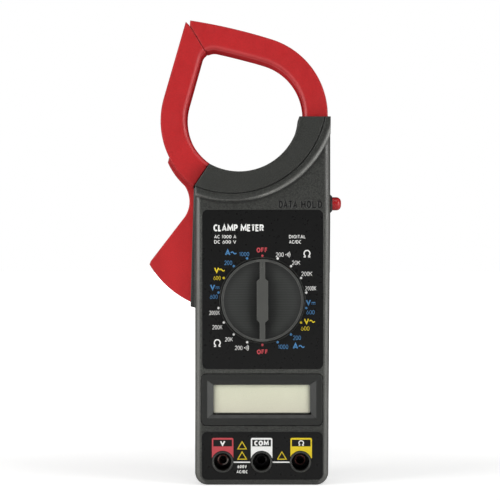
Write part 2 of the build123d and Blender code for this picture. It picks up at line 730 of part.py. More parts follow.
def lcd_frame():
    rect((-29.0, 28.8, 30.4, 54.2), 0.8)
    rect((-27.2, 27.0, 31.0, 53.1), mode=CUT)


def zebra_strips():
    rect((-25.5, 25.3, 31.3, 33.3))
    rect((-25.5, 25.3, 50.8, 52.8))


LCD_BACK = 9.05                                    # rear face of the frame and strips
build("display_lens", pad(front(12.15), 0.75, lambda: rect((-26.4, 26.0, 33.2, 51.8), 1.0)))
build("lcd_glass", pad(front(9.95), 2.0, lambda: rect((-27.0, 26.8, 31.2, 52.9))))
build("lcd_frame", pad(front(LCD_BACK), 3.1, lcd_frame))
build("lcd_zebra", pad(front(LCD_BACK), 0.85, zebra_strips))


# ---------------------------------------------------------------- circuit board and its parts
def pcb_outline():
    rect((-29.6, 29.6, 20.0, 134.0))
    rect((8.0, 24.0, 133.0, 146.5))                # tab reaching up beside the hold button


def pcb_holes():
    disc(1.2, *PCB_SCREWS)
    disc(2.5, KNOB_C)


def capacitor_outlines():
    bar(7.2, 4.5, (18.0, 60.0), (24.5, 78.0))
    disc(2.5, (20.0, 70.0))


build("main_pcb", pad(front(PCB_F), PCB_T, pcb_outline), cut(front(7.0), 4, pcb_holes))

build_screws("pcb_screws", PCB_SCREWS, seat=ON_PCB, head=(2.0, 1.3),
             slot=(2.4, 0.5, 0.7), shank=(1.0, 4.8))

BLOB_T = 1.8
build("chip_blob",
      pad(front(ON_PCB), -BLOB_T, lambda: disc(8.0, (4.0, 72.0)),
          finish=lambda: fillet(edges_at(BLOB_T - ON_PCB), 1.4)))

TRIMMER = (-17.0, 60.0)
build("trimmer",
      pad(front(ON_PCB), -3.5, lambda: bar(6.8, 6.8, TRIMMER)),
      cut(front(3.4), 1.0, lambda: bar(3.0, 0.7, TRIMMER)))

build("capacitors", pad(front(ON_PCB), -6.0, capacitor_outlines))

BUZZER = (15.5, 108.0)
build("buzzer",
      pad(front(ON_PCB), -4.2, lambda: disc(9.5, BUZZER)),
      cut(front(3.0), 2.0, lambda: disc(1.2, BUZZER)))

build("hold_switch",
      pad(across(15.0), 7.0, lambda: bar(6.9, 6.6, (-3.9, HOLD_Z))),
      cut(across(17.0), 6.0, lambda: disc(1.6, HOLD)))

# ---------------------------------------------------------------- hold button, along X
BUTTON_X, BUTTON_L, BUTTON_R = 28.0, 11.4, 3.3     # start, length and radius of the cap
build("hold_button",
      # stem, flange inside the case, cap
      pad(across(20.0), 8.0, lambda: disc(1.4, HOLD)),
      pad(across(27.6), 1.2, lambda: disc(3.8, HOLD)),
      pad(across(BUTTON_X), BUTTON_L, lambda: disc(BUTTON_R, HOLD),
          finish=lambda: fillet(edges_at(BUTTON_X + BUTTON_L, Axis.X), 2.4)))

LIP_X, LIP_T = 33.79, 1.2                          # lip of the collar, outside the case
build("hold_collar",
      pad(across(31.5), 2.7, lambda: disc(3.95, HOLD)),
      pad(across(LIP_X), LIP_T, lambda: disc(4.45, HOLD),
          finish=lambda: chamfer(edges_at(LIP_X + LIP_T, Axis.X), 0.75)),
      cut(across(30.0), 8, lambda: disc(BUTTON_R + 0.08, HOLD)))

build("hold_spring", pad(across(22.15), 5.3, lambda: ring(2.7, 1.75, HOLD)))

# ---------------------------------------------------------------- input sockets
JACK_REAR = -9.0
for node, jack in zip(("jack_volt", "jack_com", "jack_ohm"), JACKS):
    build(node,
          # sleeve, flange, bore, and a solder tag at the rear
          pad(front(JACK_REAR), 14.0, lambda: disc(JACK_OUT, jack)),
          pad(front(-1.4), 1.35, lambda: disc(4.7, jack)),
          cut(front(-8.0), 20, lambda: disc(JACK_BORE, jack)),
          pad(front(JACK_REAR), -3.0, lambda: bar(1.8, 0.7, (jack[0], JACK_Z + 0.5))))


# ---------------------------------------------------------------- battery
def terminals():
    disc(2.9, (BATTERY_Y, BATTERY_Z - TERMINAL_PITCH / 2))
    with Locations((BATTERY_Y, BATTERY_Z + TERMINAL_PITCH / 2)):
        RegularPolygon(4.0, 6)


def snap_outline():
    with Locations((BATTERY_Y, BATTERY_Z)):
        SlotOverall(24.0, 11.0, rotation=90)


build("battery",
      pad(front(BATTERY_F), -BATTERY_T, lambda: rect(BATTERY, 2.0)),
      pad(across(BATTERY[1]), 2.6, terminals))
build("battery_snap", pad(across(23.1), 2.6, snap_outline))

# ---------------------------------------------------------------- case screws
build_screws("case_screws", SCREWS, seat=-9.02, head=(2.8, 1.9),
             slot=(3.6, 0.75, 1.2), shank=(1.5, 18.0))
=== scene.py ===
"""Clamp meter, standing upright in its frame.

X runs to the right, Y from front to back (the printed face looks towards -Y) and Z up.
The sockets are at the bottom, the red jaws at the top, the trigger on the left (-X)
and the hold button on the right. The printed artwork and the wires are given in mm,
the materials, lights and stage in metres.
"""
import bpy
import bmesh
import math
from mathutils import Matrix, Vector

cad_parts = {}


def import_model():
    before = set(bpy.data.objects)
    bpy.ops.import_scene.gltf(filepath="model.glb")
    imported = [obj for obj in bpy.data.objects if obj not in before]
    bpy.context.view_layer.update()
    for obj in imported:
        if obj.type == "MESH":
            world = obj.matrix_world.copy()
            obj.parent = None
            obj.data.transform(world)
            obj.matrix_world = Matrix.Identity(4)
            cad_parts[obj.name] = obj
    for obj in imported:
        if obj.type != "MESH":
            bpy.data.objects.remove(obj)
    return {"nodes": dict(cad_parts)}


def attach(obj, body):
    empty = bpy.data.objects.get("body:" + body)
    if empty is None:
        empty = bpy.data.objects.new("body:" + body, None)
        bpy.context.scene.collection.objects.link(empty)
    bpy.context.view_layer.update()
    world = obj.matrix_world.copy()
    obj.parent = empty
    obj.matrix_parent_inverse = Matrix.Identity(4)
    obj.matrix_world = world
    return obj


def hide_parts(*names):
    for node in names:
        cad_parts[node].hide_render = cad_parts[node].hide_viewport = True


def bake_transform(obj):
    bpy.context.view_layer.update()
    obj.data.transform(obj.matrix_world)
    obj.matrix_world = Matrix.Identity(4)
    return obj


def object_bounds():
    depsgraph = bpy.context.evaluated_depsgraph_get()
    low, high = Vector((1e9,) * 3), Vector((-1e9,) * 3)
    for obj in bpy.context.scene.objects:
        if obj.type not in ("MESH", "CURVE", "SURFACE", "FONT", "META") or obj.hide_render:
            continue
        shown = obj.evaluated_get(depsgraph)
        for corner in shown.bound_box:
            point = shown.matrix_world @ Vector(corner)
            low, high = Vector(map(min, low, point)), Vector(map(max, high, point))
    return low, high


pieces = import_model()["nodes"]
cad_low, cad_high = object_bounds()

MM = 0.001

# Driving places, in mm
KNOB_X, KNOB_Z = 0.1, 91.4            # axis of the selector knob
SOCKETS_X = (-19.5, -0.3, 18.9)       # axes of the three sockets
SOCKETS_Z = 11.6
PIVOT_X, PIVOT_Z = -26.5, 140.3       # axis of the moving jaw
FRONT_Y = -14.5                       # front plane that the camera frames


# ------------------------------------------------------------------ node helpers
def linear(channel):
    """One sRGB channel, 0-255, to linear."""
    value = channel / 255.0
    return value / 12.92 if value <= 0.04045 else ((value + 0.055) / 1.055) ** 2.4


def rgba(colour, gain=1.0):
    """sRGB 0-255 colour to linear RGBA, scaled by gain."""
    return tuple(linear(channel) * gain for channel in colour) + (1.0,)


def darker(colour, gain):
    return tuple(int(channel * gain) for channel in colour)


class Nodes:
    """Short way to write a node tree. A value may be a number, a tuple or a socket."""

    def __init__(self, tree):
        self.tree = tree
        tree.nodes.clear()

    def put(self, socket, value):
        if isinstance(value, bpy.types.NodeSocket):
            self.tree.links.new(value, socket)
        else:
            socket.default_value = value

    def node(self, kind, inputs=None, **settings):
        made = self.tree.nodes.new(kind)
        for key, value in settings.items():
            setattr(made, key, value)
        for key, value in (inputs or {}).items():
            self.put(made.inputs[key], value)
        return made

    def math(self, operation, first, second=0.0, clamp=False):
        return self.node("ShaderNodeMath", {0: first, 1: second},
                         operation=operation, use_clamp=clamp).outputs[0]

    def add(self, first, second):
        return self.math("ADD", first, second)

    def sub(self, first, second):
        return self.math("SUBTRACT", first, second)

    def abs(self, value):
        return self.math("ABSOLUTE", value)

    def mul(self, product, *factors):
        for factor in factors:
            product = self.math("MULTIPLY", product, factor)
        return product

    def without(self, mask):
        return self.sub(1.0, mask)

    def ramp(self, value, over, to=(0.0, 1.0), smooth=False):
        """Clamped map of the range `over` on to the range `to`."""
        inputs = {"Value": value, "From Min": over[0], "From Max": over[1],
                  "To Min": to[0], "To Max": to[1]}
        return self.node("ShaderNodeMapRange", inputs,
                         interpolation_type="SMOOTHSTEP" if smooth else "LINEAR").outputs["Result"]

    def split(self, vector):
        return self.node("ShaderNodeSeparateXYZ", {0: vector}).outputs


class Material(Nodes):
    """Material tree in object coordinates (metres)."""

    def __init__(self, name):
        self.material = bpy.data.materials.new(name)
        self.material.use_nodes = True
        super().__init__(self.material.node_tree)
        self.output = self.node("ShaderNodeOutputMaterial")
        self.coord = self.node("ShaderNodeTexCoord").outputs["Object"]

    def finish(self, shader):
        self.put(self.output.inputs["Surface"], shader.outputs[0])
        return self.material

    # textures
    def noise(self, scale, detail=2.0, rough=0.5, stretch=None):
        coord = self.coord
        if stretch:
            coord = self.node("ShaderNodeMapping",
                              {"Scale": stretch, "Vector": coord}).outputs["Vector"]
        inputs = {"Scale": scale, "Detail": detail, "Roughness": rough, "Vector": coord}
        return self.node("ShaderNodeTexNoise", inputs).outputs["Fac"]

    def voronoi(self, scale):
        inputs = {"Scale": scale, "Vector": self.coord}
        return self.node("ShaderNodeTexVoronoi", inputs).outputs["Distance"]

    def wave(self, direction, profile, inputs):
        return self.node("ShaderNodeTexWave", {"Vector": self.coord, **inputs}, wave_type="BANDS",
                         bands_direction=direction, wave_profile=profile).outputs["Fac"]

    # places and directions
    def axes(self):
        return self.split(self.coord)

    def normal_axes(self, kind="Normal"):
        return self.split(self.node("ShaderNodeNewGeometry").outputs[kind])

    def radius(self, across, along):
        squares = self.add(self.mul(across, across), self.mul(along, along))
        return self.math("SQRT", squares)

    def polar(self, x, z, centre):
        """Distance and angle round a centre (x, z), seen from the front."""
        across = self.sub(x, centre[0])
        along = self.sub(z, centre[1])
        return self.radius(across, along), self.math("ARCTAN2", along, across)

    def dot(self, first, second):
        return self.node("ShaderNodeVectorMath", {0: first, 1: second},
                         operation="DOT_PRODUCT").outputs["Value"]

    def soft(self, radius):
        """Normal rounded over the hard edges by this radius."""
        return self.node("ShaderNodeBevel", {"Radius": radius}, samples=6).outputs["Normal"]

    def edge(self, radius, over=(0.02, 0.25)):
        """1 on convex and concave edges, 0 on flats."""
        bevel = self.node("ShaderNodeBevel", {"Radius": radius}, samples=4)
        flat = self.node("ShaderNodeNewGeometry")
        turn = self.dot(bevel.outputs["Normal"], flat.outputs["Normal"])
        return self.ramp(self.without(turn), over=over)

    def bump(self, height, strength, distance, normal=None):
        inputs = {"Strength": strength, "Distance": distance, "Height": height}
        if normal is not None:
            inputs["Normal"] = normal
        return self.node("ShaderNodeBump", inputs).outputs["Normal"]

    # colours
    def mix(self, factor, first, second, blend="MIX"):
        return self.node("ShaderNodeMix", {0: factor, 6: first, 7: second},
                         data_type="RGBA", blend_type=blend).outputs[2]

    def grey(self, value):
        return self.node("ShaderNodeCombineColor", {0: value, 1: value, 2: value}).outputs[0]

    def shade(self, colour, value):
        """Colour times a grey value."""
        return self.mix(1.0, colour, self.grey(value), "MULTIPLY")

    def tint(self, colour, mask, gains):
        """Colour times the RGB gains inside the mask."""
        return self.mix(mask, colour, self.mix(1.0, colour, (*gains, 1.0), "MULTIPLY"))

    def paint(self, colour, mask, tone):
        return self.mix(mask, colour, rgba(tone))

    def tones(self, value, base, gains, over=(0.3, 0.7)):
        """One base colour drifting between two gains."""
        return self.mix(self.ramp(value, over=over), rgba(base, gains[0]), rgba(base, gains[1]))

    def surface(self, colour, rough, metallic=0.0, normal=None, spec=0.5, coat=0.0,
                coat_rough=0.1):
        inputs = {"Base Color": colour, "Roughness": rough, "Metallic": metallic,
                  "Specular IOR Level": spec, "IOR": 1.5, "Coat Weight": coat,
                  "Coat Roughness": coat_rough}
        if normal is not None:
            inputs["Normal"] = normal
        return self.node("ShaderNodeBsdfPrincipled", inputs)


# ------------------------------------------------------------------ local tones, painted light and painted shade of the plastics
JAW_OPENING = (-0.0113, 0.190)        # x, z of the middle of the conductor opening
COLLAR_CENTRE = (-0.0153, 0.1925)     # x, z of the round collar at the top of the case


def inner_walls(mat):
    """Mask of the jaw walls that face the opening, and of those among them that face down."""
    x, y, z = mat.axes()
    normal_x, normal_y, normal_z = mat.normal_axes()
    inward = mat.add(mat.mul(normal_x, mat.sub(JAW_OPENING[0], x)),
                     mat.mul(normal_z, mat.sub(JAW_OPENING[1], z)))
    inner = mat.mul(mat.ramp(inward, over=(0.002, 0.010)),
                    mat.ramp(z, over=(0.147, 0.153)),
                    mat.ramp(mat.abs(normal_y), over=(0.80, 0.45)))
    down = mat.mul(inner, mat.ramp(mat.mul(normal_z, -1.0), over=(0.2, 0.8)))
    return inner, down


def lip_shadow_mask(mat):
    """Narrow line where the lower edge of the display window meets the lens, painted as a shadow
    line.
    """
    x, y, z = mat.axes()
    return mat.mul(mat.ramp(z, over=(0.0347, 0.0350)), mat.ramp(z, over=(0.0362, 0.0358)),
                   mat.ramp(mat.abs(x), over=(0.0246, 0.0240)))


def jaw_painted_light_and_shade(mat, colour):
    """Painted shade on the walls, deeper than the faces; painted light on the trigger near the
    case and on inner walls facing down.
    """
    x, y, z = mat.axes()
    wall = mat.ramp(mat.abs(mat.normal_axes()[1]), over=(0.75, 0.30))
    # painted light: trigger paler near the case, where the case keeps the side light off it
    near_case_light = mat.mul(mat.ramp(z, over=(0.150, 0.140)),
                        mat.ramp(x, over=(-0.052, -0.036)), mat.without(wall))
    colour = mat.tint(colour, near_case_light, gains=(1.42, 1.5, 1.5))
    down = inner_walls(mat)[1]
    # painted shade on the walls, less on the inner walls that face down
    deep = mat.mul(wall, mat.sub(0.5, mat.mul(down, 0.5)))
    colour = mat.tint(colour, deep, gains=(0.42, 0.36, 0.36))
    # painted light on the inner walls that face down
    return mat.paint(colour, mat.mul(down, 0.55), tone=(214, 66, 70))


def body_tones_and_painted_light(mat, colour):
    """Front moulding: darker collar, painted highlight on the rolled sides and the collar foot,
    painted shade in the crease outside the foot.
    """
    x, y, z = mat.axes()
    forward = mat.mul(y, -1.0)
    front = mat.ramp(forward, over=(0.0120, 0.0135))
    collar = mat.mul(mat.ramp(forward, over=(0.01655, 0.01672)),
                     mat.ramp(z, over=(0.120, 0.1205)))
    colour = mat.tint(colour, collar, gains=(0.84, 0.85, 0.84))
    # painted highlight on the rolled sides, stronger low down
    off_middle = mat.abs(mat.sub(x, 0.0003))
    side = mat.mul(mat.ramp(off_middle, over=(0.0294, 0.0312), smooth=True),
                   mat.without(collar), front,
                   mat.ramp(z, over=(0.140, 0.131), to=(0.22, 0.92), smooth=True))
    colour = mat.tint(colour, side, gains=(2.15, 2.13, 2.12))
    # strip across the front above the display
    strip = mat.mul(mat.ramp(z, over=(0.0596, 0.0590)), mat.ramp(z, over=(0.0535, 0.0545)),
                    front, mat.without(side))
    colour = mat.tint(colour, strip, gains=(1.55, 1.55, 1.55))
    # painted highlight band round the foot of the collar, weaker at its very bottom
    radius, angle = mat.polar(x, z, COLLAR_CENTRE)
    foot = mat.mul(mat.ramp(forward, over=(0.01455, 0.0147)),
                   mat.ramp(forward, over=(0.0169, 0.0166)))
    at_bottom = mat.math("COSINE", mat.sub(angle, math.radians(-94)))
    patch = mat.ramp(mat.noise(scale=160.0, detail=3.0, rough=0.6),
                     over=(0.35, 0.65), to=(0.7, 1.0))
    band = mat.mul(mat.ramp(radius, over=(0.0508, 0.0517), smooth=True),
                   mat.ramp(radius, over=(0.0526, 0.0521), smooth=True),
                   mat.ramp(at_bottom, over=(0.985, 0.93), to=(0.25, 1.0), smooth=True),
                   foot, patch)
    colour = mat.paint(colour, band, tone=(140, 141, 137))
    # painted shade in the crease just outside the band
    crease_shade = mat.mul(mat.ramp(radius, over=(0.0525, 0.0527)),
                   mat.ramp(radius, over=(0.0536, 0.0531)),
                   mat.mul(front, mat.ramp(forward, over=(0.0148, 0.0146))))
    return mat.paint(colour, mat.mul(crease_shade, 0.75), tone=(20, 20, 19))


def bezel_painted_light_and_shade(mat, colour):
    """Painted light on the facets round the window: left one palest, right one next; painted
    shadow line along the lower lip.
    """
    normal_x = mat.normal_axes("True Normal")[0]
    left = mat.ramp(normal_x, over=(0.06, 0.20))
    right = mat.ramp(mat.mul(normal_x, -1.0), over=(0.06, 0.20))
    colour = mat.tint(colour, left, gains=(2.1, 2.1, 2.1))
    colour = mat.tint(colour, right, gains=(1.35, 1.35, 1.35))
    # painted shadow line where the lower lip meets the lens
    return mat.paint(colour, mat.mul(lip_shadow_mask(mat), 0.9), tone=(8, 7, 6))


def ridge_highlight(mat, colour, tone, amount, sides=False):
    """Painted highlight where a rounded edge turns from the face to the side."""
    normal_x, normal_y, normal_z = mat.normal_axes()
    facing = mat.abs(normal_y)
    mask = mat.mul(mat.ramp(facing, over=(0.992, 0.93), smooth=True),
                   mat.ramp(facing, over=(0.45, 0.80), smooth=True))
    if sides:
        mask = mat.mul(mask, mat.ramp(mat.abs(normal_x), over=(0.06, 0.22)))
    patch = mat.ramp(mat.noise(scale=120.0, detail=3.0, rough=0.6),
                     over=(0.3, 0.7), to=(0.7, 1.0))
    return mat.paint(colour, mat.mul(mask, patch, amount), tone)


# ------------------------------------------------------------------ material families
def plastic(name, base, rough=0.5, grain=2600.0, grain_bump=0.25, grain_depth=0.00006,
            drift=0.06, wear_and_highlight=None, wear_and_highlight_amount=0.35, spec=0.5, tones=None, speck=0.0,
            rounding=0.0, rim=0.0, ridge_highlights=None, lift=None, matte=None):
    """Moulded plastic: spark-eroded grain, slow tone drift, scuffed sheen, edges paler from wear
    and painted highlight.

    tones adds local colour and painted light and shade, speck is the contrast of the grain, rim
    paints shade on what turns away from the view, ridge highlights holds the arguments for the
    painted highlight on rounded edges, lift gives masks spared from the painted rim shade and
    matte a mask without highlights.
    """
    mat = Material(name)
    slow = mat.noise(scale=38.0, detail=3.0, rough=0.55)
    middle = mat.noise(scale=260.0, detail=3.0, rough=0.6)
    colour = mat.tones(slow, base, gains=(1.0 - drift, 1.0 + drift))
    if tones is not None:
        colour = tones(mat, colour)
    fine = mat.noise(scale=grain, detail=2.0, rough=0.6)
    pits = mat.voronoi(scale=grain * 0.55)
    if speck:
        colour = mat.shade(colour, mat.ramp(fine, over=(0.35, 0.65),
                                            to=(1.0 - speck, 1.0 + speck)))
    # painted highlight along rounded edges
    if ridge_highlights is not None:
        colour = ridge_highlight(mat, colour, **ridge_highlights)
    # paler edges: wear, and painted highlight on rounded edges
    if wear_and_highlight is not None:
        worn_lit_edge = mat.edge(radius=0.0007)
        patch = mat.ramp(mat.noise(scale=190.0, detail=4.0, rough=0.65), over=(0.42, 0.66))
        colour = mat.paint(colour, mat.mul(worn_lit_edge, patch, wear_and_highlight_amount), wear_and_highlight)
    # faint handling scuffs in the sheen
    scuff = mat.ramp(mat.noise(scale=900.0, detail=2.0, rough=0.5, stretch=(1.0, 1.0, 0.12)),
                     over=(0.62, 0.74))
    sheen = mat.add(mat.ramp(middle, over=(0.3, 0.7), to=(rough - 0.05, rough + 0.06)),
                    mat.mul(scuff, -0.05))
    height = mat.add(fine, mat.mul(pits, 0.5))
    normal = mat.bump(height, strength=grain_bump, distance=grain_depth,
                      normal=mat.soft(rounding) if rounding else None)
    # painted shade where the surface turns away from the view
    if rim:
        facing = mat.node("ShaderNodeLayerWeight", {"Blend": 0.5}).outputs["Facing"]
        rim_shade = mat.ramp(mat.math("POWER", facing, 2.2), over=(0.0, 1.0), to=(1.0, 1.0 - rim))
        if lift is not None:
            inner, down = lift(mat)
            share = mat.mul(inner, mat.add(0.72, mat.mul(down, 0.28)))
            rim_shade = mat.add(rim_shade, mat.mul(mat.without(rim_shade), share))
        colour = mat.shade(colour, rim_shade)
        spec = mat.ramp(facing, over=(0.40, 0.75), to=(spec, 0.0))
    if matte is not None:
        spec = mat.mul(mat.without(matte(mat)), spec)
    return mat.finish(mat.surface(colour, sheen, normal=normal, spec=spec, coat_rough=0.25))


def metal(name, base, rough, dirt, wear_and_highlight=None):
    """Bare metal with dirt patches and, if given, a brighter tone on the edges."""
    mat = Material(name)
    slow = mat.noise(scale=60.0, detail=3.0, rough=0.6)
    colour = mat.tones(slow, base, gains=(0.86, 1.08))
    patch = mat.ramp(mat.noise(scale=420.0, detail=4.0, rough=0.7), over=(0.52, 0.72))
    colour = mat.paint(colour, mat.mul(patch, 0.5), dirt)
    if wear_and_highlight is not None:
        colour = mat.paint(colour, mat.mul(mat.edge(radius=0.0003), 0.6), wear_and_highlight)
    fine = mat.noise(scale=900.0, detail=3.0, rough=0.6)
    sheen = mat.ramp(fine, over=(0.3, 0.7), to=(rough - 0.1, rough + 0.12))
    normal = mat.bump(fine, strength=0.3, distance=0.00003)
    return mat.finish(mat.surface(colour, sheen, metallic=1.0, normal=normal))


def ink(name, base):
    """Screen-printed ink, very slightly uneven."""
    mat = Material(name)
    uneven = mat.noise(scale=2600.0, detail=2.0, rough=0.6)
    colour = mat.tones(uneven, base, gains=(0.93, 1.05), over=(0.35, 0.65))
    sheen = mat.ramp(mat.noise(scale=600.0, detail=2.0, rough=0.5),
                     over=(0.3, 0.7), to=(0.42, 0.6))
    normal = mat.bump(uneven, strength=0.15, distance=0.00001)
    return mat.finish(mat.surface(colour, sheen, normal=normal, spec=0.4))


def winding(name, base, scale, direction):
    """Fine parallel wires or stripes across one axis, lacquered."""
    mat = Material(name)
    wires = mat.wave(direction, "SIN", {"Scale": scale, "Distortion": 0.6,
                                        "Detail": 1.0, "Detail Scale": 2.0})
    patch = mat.ramp(mat.noise(scale=160.0, detail=2.0, rough=0.6), over=(0.4, 0.7))
    colour = mat.tones(wires, base, gains=(0.25, 1.0), over=(0.1, 0.6))
    colour = mat.paint(colour, mat.mul(patch, 0.4), tone=(90, 38, 18))
    normal = mat.bump(wires, strength=0.8, distance=0.00012)
    return mat.finish(mat.surface(colour, rough=0.30, metallic=0.85, normal=normal, coat=0.5))


def socket_metal(name, centre_x, rim, bore, bottom, spots):
    """Plated sleeve in a dark surround: tarnished rim with painted highlights, tarnished bore,
    painted shade for a dark hole at its bottom.

    spots lists (angle, half width, tone) of painted highlights on the rim, in degrees.
    """
    mat = Material(name)
    x, y, z = mat.axes()
    radius, angle = mat.polar(x, z, (centre_x * MM, SOCKETS_Z * MM))
    tarnish = mat.noise(scale=420.0, detail=4.0, rough=0.7)
    at_rim = mat.ramp(y, over=(-0.0046, -0.0049))
    deep = mat.ramp(y, over=(0.0072, 0.0077))
    colour = mat.mix(mat.ramp(tarnish, over=(0.40, 0.70)), rgba(bore), rgba(darker(bore, 0.55)))
    colour = mat.paint(colour, deep, bottom)
    # painted shade: dark hole in the middle of the bore floor
    hole = mat.mul(deep, mat.ramp(radius, over=(0.00135, 0.00125)))
    colour = mat.paint(colour, hole, tone=(3, 3, 3))
    rim_colour = mat.mix(mat.ramp(tarnish, over=(0.40, 0.70)), rgba(rim), rgba(darker(rim, 0.7)))
    # painted highlights on the rim
    for spot_angle, half_width, tone in spots:
        closeness = mat.math("COSINE", mat.sub(angle, math.radians(spot_angle)))
        spot = mat.ramp(closeness, over=(math.cos(math.radians(half_width)), 1.0), smooth=True)
        rim_colour = mat.paint(rim_colour, spot, tone)
    colour = mat.mix(at_rim, colour, rim_colour)
    surround = mat.mul(mat.ramp(radius, over=(0.00262, 0.00270)),
                       mat.ramp(y, over=(0.0018, 0.0016)))
    colour = mat.paint(colour, surround, tone=(9, 9, 9))
    metallic = mat.mul(mat.without(surround), 0.35)
    fine = mat.noise(scale=1400.0, detail=3.0, rough=0.6)
    sheen = mat.ramp(fine, over=(0.3, 0.7), to=(0.30, 0.46))
    normal = mat.bump(fine, strength=0.2, distance=0.00003, normal=mat.soft(radius=0.0003))
    return mat.finish(mat.surface(colour, sheen, metallic, normal, spec=0.35))


# ------------------------------------------------------------------ single materials
def label_film():
    """Black printed polyester film: fine matte texture, faint gloss and dust."""
    mat = Material("label_black")
    slow = mat.noise(scale=45.0, detail=3.0, rough=0.6)
    colour = mat.tones(slow, (21, 21, 21), gains=(0.93, 1.07))
    fine = mat.noise(scale=5200.0, detail=2.0, rough=0.6)
    colour = mat.shade(colour, mat.ramp(fine, over=(0.35, 0.65), to=(0.92, 1.08)))
    dust = mat.ramp(mat.noise(scale=3100.0, detail=1.0, rough=0.4), over=(0.755, 0.79))
    colour = mat.paint(colour, mat.mul(dust, 0.06), tone=(90, 90, 90))
    cut_edge = mat.edge(radius=0.00015, over=(0.05, 0.4))
    colour = mat.paint(colour, mat.mul(cut_edge, 0.5), tone=(74, 74, 74))
    sheen = mat.ramp(mat.noise(scale=500.0, detail=3.0, rough=0.6),
                     over=(0.3, 0.7), to=(0.26, 0.34))
    normal = mat.bump(fine, strength=0.04, distance=0.00001)
    return mat.finish(mat.surface(colour, sheen, normal=normal, spec=0.22))


def knob_grey():
    """Selector knob: brushed dish, plain moulded ring and grip bar."""
    mat = Material("knob_grey")
    x, y, z = mat.axes()
    across = mat.sub(x, KNOB_X * MM)
    along = mat.sub(z, KNOB_Z * MM)
    radius = mat.radius(across, along)
    inside = mat.ramp(radius, over=(0.01915, 0.0190))
    bar = mat.ramp(mat.abs(across), over=(0.0031, 0.0029))
    below_rim = mat.ramp(mat.mul(y, -1.0), over=(0.01680, 0.01660))
    dish = mat.mul(inside, below_rim)
    slow = mat.noise(scale=55.0, detail=3.0, rough=0.6)
    ring_colour = mat.mix(bar, rgba((60, 61, 59)), rgba((76, 77, 74)))
    ring_colour = mat.shade(ring_colour, mat.ramp(slow, over=(0.3, 0.7), to=(0.95, 1.05)))
    # dish: brushed lines along X, painted shade beside the bar and towards the rim
    dish_colour = mat.tones(slow, (38, 40, 38), gains=(0.92, 1.08))
    streaks = mat.noise(scale=1.0, detail=3.0, rough=0.6, stretch=(60.0, 60.0, 3600.0))
    wave = mat.wave("Z", "SIN", {"Scale": 260.0, "Distortion": 0.0})
    lines = mat.add(mat.mul(streaks, 0.6), mat.mul(wave, 0.4))
    dish_colour = mat.shade(dish_colour, mat.ramp(lines, over=(0.25, 0.75), to=(0.80, 1.20)))
    shadow = mat.mul(
        mat.ramp(mat.abs(across), over=(0.0030, 0.0085), to=(0.50, 1.14), smooth=True),
        mat.ramp(radius, over=(0.0150, 0.0192), to=(1.0, 0.52), smooth=True))
    dish_colour = mat.shade(dish_colour, shadow)
    colour = mat.mix(dish, ring_colour, dish_colour)
    # paler edges: painted highlight on the bevels, with some wear
    worn_lit_edge = mat.edge(radius=0.0005)
    patch = mat.ramp(mat.noise(scale=220.0, detail=4.0, rough=0.65), over=(0.40, 0.62))
    patch = mat.ramp(patch, over=(0.0, 1.0), to=(0.45, 1.0))
    colour = mat.paint(colour, mat.mul(worn_lit_edge, patch, 0.55), tone=(134, 134, 130))
    fine = mat.noise(scale=2600.0, detail=2.0, rough=0.6)
    relief = mat.mix(dish, mat.grey(fine), mat.grey(lines))
    height = mat.node("ShaderNodeRGBToBW", {0: relief}).outputs[0]
    normal = mat.bump(height, strength=0.25, distance=0.00005)
    sheen = mat.add(mat.ramp(mat.noise(scale=300.0, detail=3.0, rough=0.6),
                             over=(0.3, 0.7), to=(0.44, 0.54)), mat.mul(dish, 0.04))
    return mat.finish(mat.surface(colour, sheen, normal=normal, spec=0.45))


LCD_BOTTOM, LCD_TOP = 0.03515, 0.0495       # visible window, z
LCD_MIDDLE_X, LCD_HALF_WIDTH = -0.0002, 0.0238


def lcd_cream():
    """Reflective display, switched off: creamy with a slow gradient and shaded borders."""
    mat = Material("lcd_cream")
    x, y, z = mat.axes()
    colour = mat.mix(mat.ramp(z, over=(0.0352, 0.0498)),
                     rgba((231, 226, 206)), rgba((238, 237, 213)))
    slow = mat.noise(scale=70.0, detail=2.0, rough=0.5)
    colour = mat.shade(colour, mat.ramp(slow, over=(0.3, 0.7), to=(0.985, 1.015)))
    fine = mat.noise(scale=4200.0, detail=1.0, rough=0.5)
    colour = mat.shade(colour, mat.ramp(fine, over=(0.35, 0.65), to=(0.985, 1.015)))
    # shade of the recess along the edges of the window
    low = mat.ramp(z, over=(LCD_BOTTOM + 0.0002, LCD_BOTTOM + 0.0009), to=(0.05, 1.0),
                   smooth=True)
    top = mat.ramp(z, over=(LCD_TOP - 0.0002, LCD_TOP - 0.0010), to=(0.93, 1.0), smooth=True)
    side = mat.ramp(mat.abs(mat.sub(x, LCD_MIDDLE_X)), to=(0.66, 1.0), smooth=True,
                    over=(LCD_HALF_WIDTH - 0.0001, LCD_HALF_WIDTH - 0.0012))
    colour = mat.shade(colour, mat.mul(low, mat.mul(top, side)))
    sheen = mat.ramp(slow, over=(0.3, 0.7), to=(0.30, 0.38))
    normal = mat.bump(fine, strength=0.1, distance=0.00001)
    return mat.finish(mat.surface(colour, sheen, normal=normal, spec=0.4))


